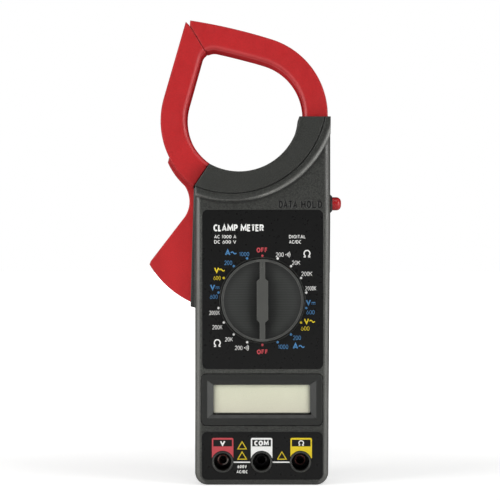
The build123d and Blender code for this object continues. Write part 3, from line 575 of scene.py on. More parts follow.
def lens_clear():
    """Clear acrylic window: transparent with a thin reflection and faint dust."""
    mat = Material("lens_clear")
    clear = mat.node("ShaderNodeBsdfTransparent", {0: (0.985, 0.99, 0.985, 1)})
    view = mat.node("ShaderNodeNewGeometry")
    facing = mat.abs(mat.dot(view.outputs["Normal"], view.outputs["Incoming"]))
    # reflection: a base share plus a share that grows at grazing angles
    grazing = mat.math("POWER", mat.math("SUBTRACT", 1.0, facing, clamp=True), 5.0)
    reflection = mat.add(0.022, mat.mul(grazing, 0.75))
    smear = mat.ramp(mat.noise(scale=160.0, detail=3.0, rough=0.6),
                     over=(0.35, 0.7), to=(0.04, 0.14))
    gloss = mat.node("ShaderNodeBsdfGlossy", {"Roughness": smear})
    dust = mat.ramp(mat.noise(scale=2600.0, detail=1.0, rough=0.4), over=(0.76, 0.80))
    dusty = mat.node("ShaderNodeBsdfDiffuse", {0: (0.7, 0.7, 0.68, 1)})
    window = mat.node("ShaderNodeMixShader",
                      {0: reflection, 1: clear.outputs[0], 2: gloss.outputs[0]})
    return mat.finish(mat.node("ShaderNodeMixShader", {
        0: mat.mul(dust, 0.12), 1: window.outputs[0], 2: dusty.outputs[0]}))


def core_laminations():
    """Stack of thin electrical-steel sheets, lines across the thickness."""
    mat = Material("core_laminations")
    sheets = mat.wave("Y", "SAW", {"Scale": 320.0, "Distortion": 0.2})
    patch = mat.noise(scale=240.0, detail=3.0, rough=0.6)
    colour = mat.mix(mat.ramp(sheets, over=(0.0, 0.35)), rgba((52, 52, 56)),
                     rgba((124, 126, 132)))
    rust = mat.mul(mat.ramp(patch, over=(0.5, 0.75)), 0.4)
    colour = mat.paint(colour, rust, tone=(112, 74, 50))
    sheen = mat.ramp(patch, over=(0.3, 0.7), to=(0.30, 0.5))
    normal = mat.bump(sheets, strength=0.5, distance=0.00005)
    return mat.finish(mat.surface(colour, sheen, metallic=0.9, normal=normal))


def pcb_green():
    """Green solder mask over copper tracks, with scattered pads."""
    mat = Material("pcb_green")
    facing_front = mat.node("ShaderNodeMapping", {"Rotation": (math.radians(90), 0, 0),
                                                  "Vector": mat.coord}).outputs["Vector"]
    bricks = mat.node("ShaderNodeTexBrick", {
        "Scale": 210.0, "Mortar Size": 0.03, "Brick Width": 1.6, "Row Height": 0.32,
        "Vector": facing_front})
    tracks = mat.ramp(bricks.outputs["Fac"], over=(0.3, 0.7))
    cells = mat.voronoi(scale=390.0)
    pads = mat.ramp(cells, over=(0.16, 0.13))
    holes = mat.ramp(cells, over=(0.07, 0.05))
    colour = mat.mix(mat.mul(tracks, 0.85), rgba((22, 74, 40)), rgba((52, 128, 66)))
    colour = mat.paint(colour, pads, tone=(196, 196, 188))
    colour = mat.paint(colour, holes, tone=(30, 30, 26))
    sheen = mat.ramp(pads, over=(0.0, 1.0), to=(0.34, 0.28))
    normal = mat.bump(mat.add(tracks, pads), strength=0.35, distance=0.00004)
    return mat.finish(mat.surface(colour, sheen, mat.mul(pads, 0.9), normal))


def battery_wrap():
    """9 V block: dark wrap, copper-coloured band and pale line, metal terminals."""
    mat = Material("battery_wrap")
    x = mat.axes()[0]
    slow = mat.noise(scale=120.0, detail=3.0, rough=0.6)
    colour = mat.mix(mat.ramp(slow, over=(0.3, 0.7)), rgba((28, 30, 34)), rgba((36, 38, 42)))
    band = mat.mul(mat.ramp(x, over=(0.0060, 0.0061)), mat.ramp(x, over=(0.0176, 0.0175)))
    line = mat.mul(mat.ramp(x, over=(0.0044, 0.0045)), mat.ramp(x, over=(0.0053, 0.0052)))
    colour = mat.paint(colour, band, tone=(190, 118, 60))
    colour = mat.paint(colour, line, tone=(206, 206, 204))
    terminals = mat.ramp(x, over=(0.01760, 0.01765))
    colour = mat.paint(colour, terminals, tone=(168, 168, 166))
    metallic = mat.math("MAXIMUM", mat.mul(band, 0.5), mat.mul(terminals, 0.9))
    sheen = mat.ramp(mat.noise(scale=700.0, detail=3.0, rough=0.6),
                     over=(0.3, 0.7), to=(0.28, 0.40))
    normal = mat.bump(mat.noise(scale=1500.0), strength=0.08, distance=0.00003)
    return mat.finish(mat.surface(colour, sheen, metallic, normal, coat=0.3))


# ------------------------------------------------------------------ all materials
SHELL = dict(grain=2100.0, grain_bump=0.30, drift=0.05)
SMALL_PART = dict(grain=2200.0, grain_bump=0.12)
WIRE = dict(rough=0.42, grain=1800.0, grain_bump=0.08, drift=0.05)

materials = {
    "case": plastic("case_grey", (49, 50, 47), rough=0.42, wear_and_highlight=(120, 120, 116),
                    wear_and_highlight_amount=0.25, tones=body_tones_and_painted_light, speck=0.55, rounding=0.0009,
                    ridge_highlights=dict(tone=(140, 139, 135), amount=0.30, sides=True), **SHELL),
    "case_rear": plastic("case_grey_rear", (49, 50, 47), rough=0.44, wear_and_highlight=(120, 120, 116),
                         wear_and_highlight_amount=0.30, speck=0.34, rounding=0.0009, **SHELL),
    "door": plastic("door_grey", (48, 49, 46), rough=0.46, wear_and_highlight=(112, 112, 108),
                    wear_and_highlight_amount=0.35, speck=0.34, rounding=0.0005, **SHELL),
    "red": plastic("jaw_red", (183, 33, 36), rough=0.42, grain=1700.0, grain_bump=0.16,
                   wear_and_highlight=(214, 84, 82), wear_and_highlight_amount=0.22, spec=0.42, speck=0.07,
                   rounding=0.0012, rim=0.62, ridge_highlights=dict(tone=(232, 96, 98), amount=0.26),
                   tones=jaw_painted_light_and_shade, lift=inner_walls),
    "red_button": plastic("button_red", (190, 34, 38), rough=0.34, grain=2400.0,
                          grain_bump=0.10, drift=0.05, wear_and_highlight=(222, 100, 96), wear_and_highlight_amount=0.3,
                          spec=0.45, rounding=0.0003, rim=0.5),
    "bezel": plastic("bezel_grey", (34, 35, 33), rough=0.36, grain=2300.0, grain_bump=0.24,
                     drift=0.05, wear_and_highlight=(92, 92, 88), wear_and_highlight_amount=0.25, speck=0.12,
                     rounding=0.0004, tones=bezel_painted_light_and_shade, matte=lip_shadow_mask),
    "black": plastic("black_plastic", (26, 26, 27), grain_bump=0.2, drift=0.08,
                     wear_and_highlight=(70, 70, 70), wear_and_highlight_amount=0.3),
    "label": label_film(),
    "knob": knob_grey(),
    "lcd": lcd_cream(),
    "lens": lens_clear(),
    "brass": metal("brass", (196, 158, 92), rough=0.28, dirt=(92, 58, 34),
                   wear_and_highlight=(236, 214, 160)),
    "jack_volt": socket_metal("socket_metal_left", SOCKETS_X[0], rim=(120, 66, 58),
                              bore=(96, 52, 46), bottom=(120, 70, 62),
                              spots=((-35, 75, (250, 236, 228)), (172, 60, (216, 172, 164)))),
    "jack_com": socket_metal("socket_metal_mid", SOCKETS_X[1], rim=(18, 16, 16),
                             bore=(12, 11, 11), bottom=(14, 12, 12),
                             spots=((5, 35, (120, 116, 114)),)),
    "jack_ohm": socket_metal("socket_metal_right", SOCKETS_X[2], rim=(96, 50, 44),
                             bore=(70, 36, 32), bottom=(84, 46, 40),
                             spots=((35, 60, (150, 92, 84)), (200, 50, (128, 74, 66)))),
    "steel": metal("steel", (176, 178, 180), rough=0.30, dirt=(96, 96, 98),
                   wear_and_highlight=(224, 224, 224)),
    "screw": metal("screw_zinc", (150, 152, 152), rough=0.36, dirt=(70, 70, 72),
                   wear_and_highlight=(214, 214, 214)),
    "spring": metal("spring_steel", (150, 152, 156), rough=0.26, dirt=(88, 88, 90)),
    "foil": plastic("rear_plate_silver", (150, 151, 152), rough=0.38, grain=3000.0,
                    grain_bump=0.12, drift=0.04, wear_and_highlight=(196, 196, 196), wear_and_highlight_amount=0.3),
    "foam": plastic("foam_pad", (44, 44, 46), rough=0.9, grain=1300.0, grain_bump=0.9,
                    grain_depth=0.0002, drift=0.15),
    "ceramic": plastic("buzzer_black", (24, 24, 25), rough=0.42, grain=2400.0,
                       grain_bump=0.12, wear_and_highlight=(80, 80, 80)),
    "epoxy": plastic("epoxy_black", (15, 15, 16), rough=0.26, grain=700.0, grain_bump=0.12,
                     grain_depth=0.0001, drift=0.1),
    "trim": plastic("trimmer_blue", (44, 92, 168), rough=0.42, wear_and_highlight=(150, 176, 214),
                    **SMALL_PART),
    "white_plastic": plastic("switch_white", (206, 205, 196), drift=0.03,
                             wear_and_highlight=(232, 230, 222), **SMALL_PART),
    "core": core_laminations(),
    "copper": winding("winding_copper", (196, 104, 54), scale=520.0, direction="Z"),
    "pcb": pcb_green(),
    "battery": battery_wrap(),
    "zebra": winding("zebra_strip", (190, 126, 140), scale=900.0, direction="X"),
    "capacitor": plastic("capacitor_amber", (176, 96, 34), rough=0.34, grain=1600.0,
                         grain_bump=0.10, drift=0.08, wear_and_highlight=(220, 170, 110)),
    "wire_red": plastic("wire_red", (176, 26, 26), **WIRE),
    "wire_black": plastic("wire_black", (20, 20, 21), **WIRE),
}

INK_COLOURS = {
    "white": (246, 246, 243), "red": (196, 74, 81), "yellow": (232, 205, 38),
    "blue": (78, 136, 188), "black": (5, 5, 5),
}
inks = {key: ink("ink_" + key, colour) for key, colour in INK_COLOURS.items()}

PIECE_MATERIALS = {
    "front_case": "case", "rear_case": "case_rear", "battery_door": "door",
    "battery_pad": "foam", "battery": "battery", "battery_snap": "black",
    "fixed_jaw_front": "red", "fixed_jaw_rear": "red", "moving_jaw_front": "red",
    "moving_jaw_rear": "red", "fixed_core": "core", "moving_core": "core",
    "fixed_coil": "copper", "moving_coil": "copper", "pivot_pin": "steel",
    "return_spring": "spring", "trigger_screw": "screw", "case_screws": "screw",
    "pcb_screws": "screw", "dial_label": "label", "socket_label": "label",
    "rear_plate": "foil", "display_bezel": "bezel", "display_lens": "lens",
    "lcd_glass": "lcd", "lcd_frame": "white_plastic", "lcd_zebra": "zebra",
    "main_pcb": "pcb", "chip_blob": "epoxy", "trimmer": "trim", "capacitors": "capacitor",
    "buzzer": "ceramic", "hold_switch": "white_plastic", "hold_collar": "black",
    "hold_spring": "spring", "hold_button": "red_button", "jack_volt": "jack_volt",
    "jack_com": "jack_com", "jack_ohm": "jack_ohm", "selector_knob": "knob",
    "switch_wipers": "brass",
}
for name, piece in pieces.items():
    piece.data.materials.clear()
    piece.data.materials.append(materials[PIECE_MATERIALS[name]])


def mesh_object(name, bm, material):
    """Turn a bmesh into a linked object with one material."""
    mesh = bpy.data.meshes.new(name)
    bm.to_mesh(mesh)
    bm.free()
    made = bpy.data.objects.new(name, mesh)
    bpy.context.scene.collection.objects.link(made)
    mesh.materials.append(material)
    return made


# ------------------------------------------------------------------ letterforms
def arc(centre_x, centre_y, radius_x, radius_y, start, end, steps=10):
    """Points on an ellipse between two angles in degrees."""
    angles = [math.radians(start + (end - start) * i / steps) for i in range(steps + 1)]
    return [(centre_x + radius_x * math.cos(angle), centre_y + radius_y * math.sin(angle))
            for angle in angles]


# Plain condensed letterforms in a unit cell: glyph -> (relative width, lines of points)
GLYPHS = {
    "A": (1.06, [[(0, 0), (.5, 1), (1, 0)], [(.2, .30), (.8, .30)]]),
    "C": (0.92, [arc(.62, .5, .62, .5, 52, 308, 14)]),
    "D": (1.0, [[(0, 0), (0, 1), (.34, 1)] + arc(.34, .5, .66, .5, 80, -80, 10)
                + [(.34, 0), (0, 0)]]),
    "E": (0.80, [[(1, 1), (0, 1), (0, 0), (1, 0)], [(0, .52), (.88, .52)]]),
    "F": (0.80, [[(1, 1), (0, 1), (0, 0)], [(0, .52), (.88, .52)]]),
    "G": (1.0, [arc(.58, .5, .58, .5, 55, 290, 14) + [(1, .12), (1, .46), (.6, .46)]]),
    "H": (1.0, [[(0, 0), (0, 1)], [(1, 0), (1, 1)], [(0, .5), (1, .5)]]),
    "I": (0.30, [[(.5, 0), (.5, 1)]]),
    "K": (1.0, [[(0, 0), (0, 1)], [(1, 1), (.06, .46)], [(.30, .62), (1, 0)]]),
    "L": (0.72, [[(0, 1), (0, 0), (1, 0)]]),
    "M": (1.30, [[(0, 0), (.06, 1), (.5, .22), (.94, 1), (1, 0)]]),
    "O": (1.10, [arc(.5, .5, .5, .5, 90, 450, 20)]),
    "P": (0.86, [[(0, 0), (0, 1), (.5, 1)] + arc(.5, .73, .5, .27, 75, -75, 8)
                 + [(.5, .46), (0, .46)]]),
    "R": (0.92, [[(0, 0), (0, 1), (.5, 1)] + arc(.5, .74, .46, .26, 75, -75, 8)
                 + [(.5, .48), (0, .48)], [(.46, .48), (1, 0)]]),
    "T": (0.84, [[(0, 1), (1, 1)], [(.5, 1), (.5, 0)]]),
    "V": (1.04, [[(0, 1), (.5, 0), (1, 1)]]),
    "0": (0.90, [arc(.5, .5, .5, .5, 90, 450, 18)]),
    "1": (0.50, [[(.05, .80), (.62, 1), (.62, 0)]]),
    "2": (0.88, [arc(.5, .70, .47, .30, 165, -20, 10) + [(0, 0), (1, 0)]]),
    "6": (0.90, [arc(.5, .32, .5, .32, 90, 450, 14), [(.04, .40), (.62, 1)]]),
    "/": (0.55, [[(0, 0), (1, 1)]]),
    " ": (0.46, []),
}
# the 9 is the 6 turned upside down
GLYPHS["9"] = (GLYPHS["6"][0], [[(1 - u, 1 - v) for u, v in line] for line in GLYPHS["6"][1]])


# ------------------------------------------------------------------ flat artwork
class Artwork:
    """Flat artwork of one colour, built as one thin raised mesh. All lengths in mm."""

    def __init__(self, surface=-14.47, thickness=0.03):
        self.bm = bmesh.new()
        self.set_layer(surface, thickness)

    def set_layer(self, surface, thickness):
        """Y of the surface under the next shapes, and their thickness towards -Y."""
        self.surface = surface
        self.thickness = thickness

    def polygon(self, points):
        following = points[1:] + points[:1]
        area = sum(a[0] * b[1] - b[0] * a[1] for a, b in zip(points, following))
        if area < 0:
            points = points[::-1]
        front_y = (self.surface - self.thickness) * MM
        front, back = ([self.bm.verts.new((x * MM, y, z * MM)) for x, z in points]
                       for y in (front_y, self.surface * MM))
        self.bm.faces.new(front)
        for i in range(len(points)):
            j = (i + 1) % len(points)
            self.bm.faces.new((front[j], front[i], back[i], back[j]))

    def rect(self, left, right, bottom, top):
        self.polygon([(left, bottom), (right, bottom), (right, top), (left, top)])

    def disc(self, x, z, radius, segments=20):
        angles = [2 * math.pi * i / segments for i in range(segments)]
        self.polygon([(x + radius * math.cos(angle), z + radius * math.sin(angle))
                      for angle in angles])

    def ribbon(self, points, width, closed=False):
        """Mitred line through the points, one quad for each stretch."""
        path = [Vector(point) for point in points]
        count = len(path)
        left, right = [], []
        for i in range(count):
            if closed:
                before, after = path[i - 1], path[(i + 1) % count]
            else:
                before, after = path[max(0, i - 1)], path[min(count - 1, i + 1)]
            arriving = path[i] - before
            leaving = after - path[i]
            # an open end has only one direction
            if arriving.length < 1e-9:
                arriving = leaving
            if leaving.length < 1e-9:
                leaving = arriving
            arriving = arriving.normalized()
            tangent = (arriving + leaving.normalized()).normalized()
            normal = Vector((-tangent.y, tangent.x))
            mitre = max(0.45, normal.dot(Vector((-arriving.y, arriving.x))))
            offset = normal * (width / 2 / mitre)
            left.append(path[i] + offset)
            right.append(path[i] - offset)
        for i in range(count if closed else count - 1):
            j = (i + 1) % count
            self.polygon([tuple(right[i]), tuple(right[j]), tuple(left[j]), tuple(left[i])])

    def glyph(self, char, x, z, width, height, stroke):
        """One glyph whose centre lines fill the cell from the corner (x, z)."""
        for line in GLYPHS[char][1]:
            self.ribbon([(x + u * width, z + v * height) for u, v in line], stroke)

    def word(self, text, left, right, bottom, top, stroke, gap=0.22):
        """Word whose outer edges fill the box."""
        relative = [GLYPHS[char][0] for char in text]
        scale = ((right - left) - gap * (len(text) - 1)) / sum(relative)
        x = left
        for char in text:
            width = GLYPHS[char][0] * scale
            self.glyph(char, x + stroke / 2, bottom + stroke / 2,
                       width - stroke, top - bottom - stroke, stroke)
            x += width + gap

    def sine(self, left, right, bottom, top):
        middle, height = (bottom + top) / 2, (top - bottom) / 2
        self.ribbon([(left + (right - left) * i / 16,
                      middle + height * math.sin(2 * math.pi * i / 16)) for i in range(17)],
                    width=0.5)

    def direct(self, left, right, z, line=0.38, gap=0.78):
        """Direct-current sign: a full line over three dashes."""
        upper, lower = z + gap / 2, z - gap / 2
        self.rect(left, right, upper - line / 2, upper + line / 2)
        dash = (right - left) / 5
        for i in range(3):
            self.rect(left + 2 * i * dash, left + (2 * i + 1) * dash,
                      lower - line / 2, lower + line / 2)

    def sound(self, left, z):
        """Dot and three widening arcs."""
        self.disc(left + 0.25, z, 0.26, segments=10)
        for i in range(3):
            radius = 0.95 + 0.62 * i
            # the arcs are slightly flattened in height
            self.ribbon([(left + 0.15 + radius * math.cos(math.radians(angle)),
                          z + 0.98 * radius * math.sin(math.radians(angle)))
                         for angle in range(-42, 43, 12)], width=0.24)

    def ohm(self, x, bottom, top, width=3.3, line=0.56):
        """Omega from an open arc and two feet."""
        radius_z = (top - bottom - line * 0.9) * 0.46
        bow = arc(x, top - radius_z - line * 0.4, width * 0.44, radius_z, -52, 232, 24)
        foot_z = bottom + line * 0.5 + 0.12
        self.ribbon([(bow[0][0] - 0.02, foot_z)] + bow + [(bow[-1][0] + 0.02, foot_z)], line)
        self.rect(x - width / 2, bow[-1][0] + line * 0.4, bottom, bottom + line)
        self.rect(bow[0][0] - line * 0.4, x + width / 2, bottom, bottom + line)

    def turn_to_back(self):
        """Half a turn round Z, from the front plane to the back."""
        for vert in self.bm.verts:
            vert.co.x, vert.co.y = -vert.co.x, -vert.co.y

    def finish(self, name, material, slot):
        made = mesh_object(name, self.bm, material)
        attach(made, "body")


art = {key: Artwork() for key in inks}
white, red, yellow, black = (art[key] for key in ("white", "red", "yellow", "black"))

# ------------------------------------------------------------------ dial artwork
# Dots round the selector, clockwise from the top; both halves have the same inks
DOT_INKS = ("red", "white", "white", "white", "white", "blue", "yellow", "blue", "blue") * 2
DOT_STEP = 20                         # degrees
DOT_CIRCLE, DOT_RADIUS = 22.0, 0.60
for i, key in enumerate(DOT_INKS):
    angle = math.radians(i * DOT_STEP)
    art[key].disc(KNOB_X + DOT_CIRCLE * math.sin(angle),
                  KNOB_Z + DOT_CIRCLE * math.cos(angle), DOT_RADIUS)

white.word("CLAMP METER", -24.09, 0.84, 125.41, 128.87, stroke=0.74, gap=0.13)
# text, left, right, bottom, top
for row in (("AC 1000 A", -23.69, -12.83, 121.96, 123.64),
            ("DC 600 V", -23.69, -12.83, 119.39, 121.07),
            ("DIGITAL", 13.23, 21.42, 121.96, 123.64),
            ("AC/DC", 13.23, 19.25, 119.39, 121.07)):
    white.word(*row, stroke=0.27)
for row in (("OFF", -2.81, 2.67, 115.00, 117.47), ("OFF", -2.67, 2.86, 64.80, 67.12)):
    red.word(*row, stroke=0.56, gap=0.28)

# ink, then a text with its left, right, bottom, top, or a sign with the places it takes:
# sine left, right, bottom, top; direct left, right, z; sound left, z; ohm x, bottom, top
DIAL_MARKS = (
    ("blue", "A", -18.36, -15.70, 113.47, 116.48),
    ("blue", "sine", -15.45, -12.78, 114.31, 115.30),
    ("blue", "1000", -11.25, -6.42, 113.17, 115.25),
    ("blue", "200", -18.66, -14.86, 108.83, 111.00),
    ("yellow", "V", -23.79, -21.17, 104.93, 107.74),
    ("yellow", "sine", -21.08, -18.56, 105.82, 106.81),
    ("yellow", "600", -24.09, -20.48, 101.38, 103.40),
    ("blue", "V", -25.76, -23.20, 96.49, 99.35),
    ("blue", "direct", -23.00, -21.12, 97.58),
    ("blue", "600", -25.76, -22.01, 92.10, 94.22),
    ("white", "2000K", -26.06, -20.93, 84.20, 86.27),
    ("white", "200K", -24.58, -19.64, 77.04, 79.17),
    ("white", "20K", -18.36, -14.51, 71.07, 73.19),
    ("white", "200", -13.42, -9.77, 66.88, 69.00),
    ("white", "sound", -9.03, 67.96),
    ("white", "ohm", -22.16, 68.41, 72.16),
    ("white", "ohm", 22.11, 112.53, 116.23),
    ("blue", "1000", 7.95, 12.83, 67.37, 69.54),
    ("blue", "A", 15.10, 17.77, 67.32, 70.33),
    ("blue", "sine", 18.11, 20.78, 68.11, 69.10),
    ("blue", "200", 15.20, 19.10, 71.81, 73.98),
    ("yellow", "V", 20.53, 23.20, 79.71, 82.57),
    ("yellow", "sine", 23.39, 25.96, 80.55, 81.54),
    ("yellow", "600", 19.10, 23.35, 76.45, 78.53),
    ("blue", "V", 21.52, 24.09, 88.99, 91.85),
    ("blue", "direct", 24.33, 26.26, 89.98),
    ("blue", "600", 21.86, 25.86, 84.45, 86.57),
    ("white", "2000K", 21.27, 26.65, 96.24, 98.37),
    ("white", "200K", 19.40, 24.68, 103.40, 105.57),
    ("white", "20K", 14.71, 18.76, 108.88, 111.00),
    ("white", "200", 6.71, 10.66, 112.88, 115.05),
    ("white", "sound", 11.45, 113.96),
)
SIGNS = {"sine": Artwork.sine, "direct": Artwork.direct, "sound": Artwork.sound,
         "ohm": Artwork.ohm}
for key, mark, *place in DIAL_MARKS:
    if mark in SIGNS:
        SIGNS[mark](art[key], *place)
    else:
        art[key].word(mark, *place, stroke=0.66 if mark in ("A", "V") else 0.21, gap=0.20)

# ------------------------------------------------------------------ socket artwork
TAB_HALF_WIDTH = 5.3058
TAB_BOTTOM, TAB_TOP = 13.425, 23.493
TAB_CORNER = 0.8
PANEL_BOTTOM, PANEL_TOP = 19.298, 22.605      # black panel behind the lettering
PANEL_INSET = 0.691
SOCKET_CUT = 5.55                             # radius cut out round the socket
TAB_STEPS = 28


def tab(colour, centre_x, socket_x):
    """Coloured tab with a black panel, cut round its socket at the bottom."""
    left, right = centre_x - TAB_HALF_WIDTH, centre_x + TAB_HALF_WIDTH
    panel_left, panel_right = left + PANEL_INSET, right - PANEL_INSET
    corner_z = TAB_TOP - TAB_CORNER
    corner_left = arc(left + TAB_CORNER, corner_z, TAB_CORNER, TAB_CORNER, 180, 90, 6)
    corner_right = arc(right - TAB_CORNER, corner_z, TAB_CORNER, TAB_CORNER, 90, 0, 6)
    colour.polygon([(left, PANEL_BOTTOM)] + corner_left
                   + [(panel_left, TAB_TOP), (panel_left, PANEL_BOTTOM)])
    colour.polygon([(panel_right, PANEL_BOTTOM), (panel_right, TAB_TOP)] + corner_right
                   + [(right, PANEL_BOTTOM)])
    colour.rect(panel_left, panel_right, PANEL_TOP, TAB_TOP)
    black.rect(panel_left, panel_right, PANEL_BOTTOM, PANEL_TOP)
    outline = []
    for i in range(TAB_STEPS + 1):
        x = left + (right - left) * i / TAB_STEPS
        z = TAB_BOTTOM
        if abs(x - socket_x) < SOCKET_CUT:
            z = max(z, SOCKETS_Z + math.sqrt(SOCKET_CUT ** 2 - (x - socket_x) ** 2))
        outline.append((x, z))
    for start, end in zip(outline, outline[1:]):
        colour.polygon([start, end, (end[0], PANEL_BOTTOM), (start[0], PANEL_BOTTOM)])


black.set_layer(surface=-14.47, thickness=0.012)
for colour, centre_x, socket_x in zip((red, white, yellow), (-19.520, -0.296, 19.249), SOCKETS_X):
    tab(colour, centre_x, socket_x)
white.word("V", -20.88, -18.21, 19.59, 22.21, stroke=0.70)
white.word("COM", -3.95, 3.31, 19.59, 22.21, stroke=0.70, gap=0.28)
white.ohm(19.25, 19.59, 22.26, width=2.6, line=0.5)
# short bars between the sockets
for left, right in ((-14.12, -5.92), (5.18, 13.57)):
    white.rect(left, right, 11.50 - 0.3, 11.50 + 0.3)
for x, z in ((-9.92, 19.74), (-9.92, 14.71), (9.72, 14.71)):
    triangle = [(x, z + 1.9), (x - 2.15, z - 1.7), (x + 2.15, z - 1.7)]
    yellow.ribbon(triangle, width=0.38, closed=True)
white.word("600V", -12.24, -7.60, 8.54, 10.12, stroke=0.33)
white.word("AC/DC", -12.64, -7.21, 5.97, 7.55, stroke=0.33)

# lettering near the hold button: text, left, pitch, glyph width
black.set_layer(surface=-14.49, thickness=0.02)
for text, left, pitch, width in (("DATA", 8.5, 2.35, 1.45), ("HOLD", 19.5, 2.75, 1.6)):
    for i, char in enumerate(text):
        black.glyph(char, left + i * pitch, 137.2, width, height=3.1, stroke=0.66)

for key, artwork in art.items():
    artwork.finish("print_" + key, inks[key], slot="label_black")


# ------------------------------------------------------------------ plate on the back
def back_word(text, left, right, bottom, height, stroke):
    plate.word(text, left, right, bottom, bottom + height, stroke, gap=0.3)


PLATE_LEFT, PLATE_RIGHT = -20.5, 20.5         # ends of the rules
TEXT_LEFT, VALUES_LEFT = -20.0, 1.0           # two columns of text
plate = Artwork(surface=-17.97)
back_word("CLAMP METER", TEXT_LEFT, 8.0, 109.6, height=3.6, stroke=0.62)
plate.rect(PLATE_LEFT, PLATE_RIGHT, 106.9, 107.2)
for i, (label, values) in enumerate((("A AC", "200 / 1000"), ("V AC", "600"),
                                     ("V DC", "600"), ("OHM", "200 / 2000K"))):
    z = 101.2 - i * 5.4
    back_word(label, TEXT_LEFT, TEXT_LEFT + 2.1 * len(label), z, height=2.4, stroke=0.34)
    back_word(values, VALUES_LEFT, VALUES_LEFT + 1.75 * len(values), z, height=2.4,
              stroke=0.34)
    plate.rect(PLATE_LEFT, PLATE_RIGHT, z - 1.6, z - 1.45)
# battery sign: outline, terminal, minus, then plus in three parts
plate.ribbon([(-20.0, 67.4), (-9.0, 67.4), (-9.0, 73.8), (-20.0, 73.8)], width=0.5, closed=True)
for box in ((-8.75, -7.6, 69.0, 72.2), (-18.4, -16.4, 70.4, 70.8),
            (-12.6, -10.6, 70.4, 70.8), (-11.8, -11.4, 69.6, 70.4),
            (-11.8, -11.4, 70.8, 71.6)):
    plate.rect(*box)
back_word("9V DC", -5.4, 4.2, 69.2, height=2.8, stroke=0.42)
plate.turn_to_back()
plate.finish("print_back", ink("ink_back", (26, 26, 27)), slot="rear_label")


# ------------------------------------------------------------------ swept wires
def smooth_path(points, steps=12):
    """Catmull-Rom curve through the points."""
    last = len(points) - 1
    path = []
    for i in range(last):
        before, start = points[max(0, i - 1)], points[i]
        end, after = points[i + 1], points[min(last, i + 2)]
        for k in range(steps):
            t = k / steps
            path.append(0.5 * ((2 * start) + (end - before) * t
                               + (2 * before - 5 * start + 4 * end - after) * t ** 2
                               + (3 * start - before - 3 * end + after) * t ** 3))
    path.append(points[-1])
    return path


def helix(start, end, radius, cosine_axis, turns, steps_per_turn, start_angle=0.0):
    """Coil from start to end (mm), turning between cosine_axis and Z; points in metres."""
    start, end, cosine_axis = Vector(start), Vector(end), Vector(cosine_axis)
    steps = int(turns * steps_per_turn)
    path = []
    for i in range(steps + 1):
        angle = start_angle + 2 * math.pi * turns * i / steps
        arm = cosine_axis * math.cos(angle) + Vector((0, 0, 1)) * math.sin(angle)
        path.append((start + (end - start) * (i / steps) + arm * radius) * MM)
    return path


def tube(name, path, radius, material, segments):
    """Round wire with closed ends along a path in metres."""
    bm = bmesh.new()
    rings = []
    side = None
    for i, point in enumerate(path):
        before, after = path[max(0, i - 1)], path[min(len(path) - 1, i + 1)]
        tangent = (after - before).normalized()
        if side is None:
            # any direction that is never along the wire
            side = tangent.cross(Vector((0.13, 0.31, 0.94)).normalized()).normalized()
        else:
            side = (side - tangent * side.dot(tangent)).normalized()
        across = tangent.cross(side)
        angles = [2 * math.pi * k / segments for k in range(segments)]
        rings.append([bm.verts.new(point + radius * (side * math.cos(angle)
                                                     + across * math.sin(angle)))
                      for angle in angles])
    for ring, following in zip(rings, rings[1:]):
        for k in range(segments):
            j = (k + 1) % segments
            bm.faces.new((ring[k], ring[j], following[j], following[k]))
    bm.faces.new(rings[0][::-1])
    bm.faces.new(rings[-1])
    for face in bm.faces:
        face.smooth = len(face.verts) == 4
    bmesh.ops.recalc_face_normals(bm, faces=bm.faces)
    return mesh_object(name, bm, material)


# middle line between the two battery leads: x, y, z, share of the spread in z
LEAD_STATIONS = (
    (24.6, 4.6, 36.4, 3.0), (26.2, 4.6, 36.2, 2.6), (27.3, 3.6, 35.9, 1.6),
    (27.9, 1.6, 35.7, 1.0), (29.2, -0.6, 35.6, 1.0), (30.4, -2.2, 35.6, 1.0),
)
# colour, spread in z, shift in y, slot
for colour, spread, shift, slot in (("red", 0.9, 0.0, "jaw_red"),
                                    ("black", -0.9, 0.5, "black_plastic")):
    stations = [Vector((x * MM, (y + shift) * MM, (z + spread * share) * MM))
                for x, y, z, share in LEAD_STATIONS]
    lead = tube("battery_lead_" + colour, smooth_path(stations), radius=0.5 * MM,
                material=materials["wire_" + colour], segments=10)
    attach(lead, "body")

# torsion spring on the jaw pivot
path = helix((PIVOT_X, 7.35, PIVOT_Z), (PIVOT_X, 9.85, PIVOT_Z), radius=3.1,
             cosine_axis=(1, 0, 0), turns=3.6, steps_per_turn=36,
             start_angle=math.radians(200))
spring = tube("return_spring_wire", path, radius=0.32 * MM, material=materials["spring"],
              segments=8)
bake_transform(spring)
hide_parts("return_spring")

# compression spring behind the hold button
path = helix((22.55, -4.6, 139.3), (27.05, -4.6, 139.3), radius=2.2,
             cosine_axis=(0, 1, 0), turns=5.5, steps_per_turn=30)
hold_spring = tube("hold_spring_wire", path, radius=0.26 * MM, material=materials["spring"],
                   segments=8)
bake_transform(hold_spring)
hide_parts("hold_spring")


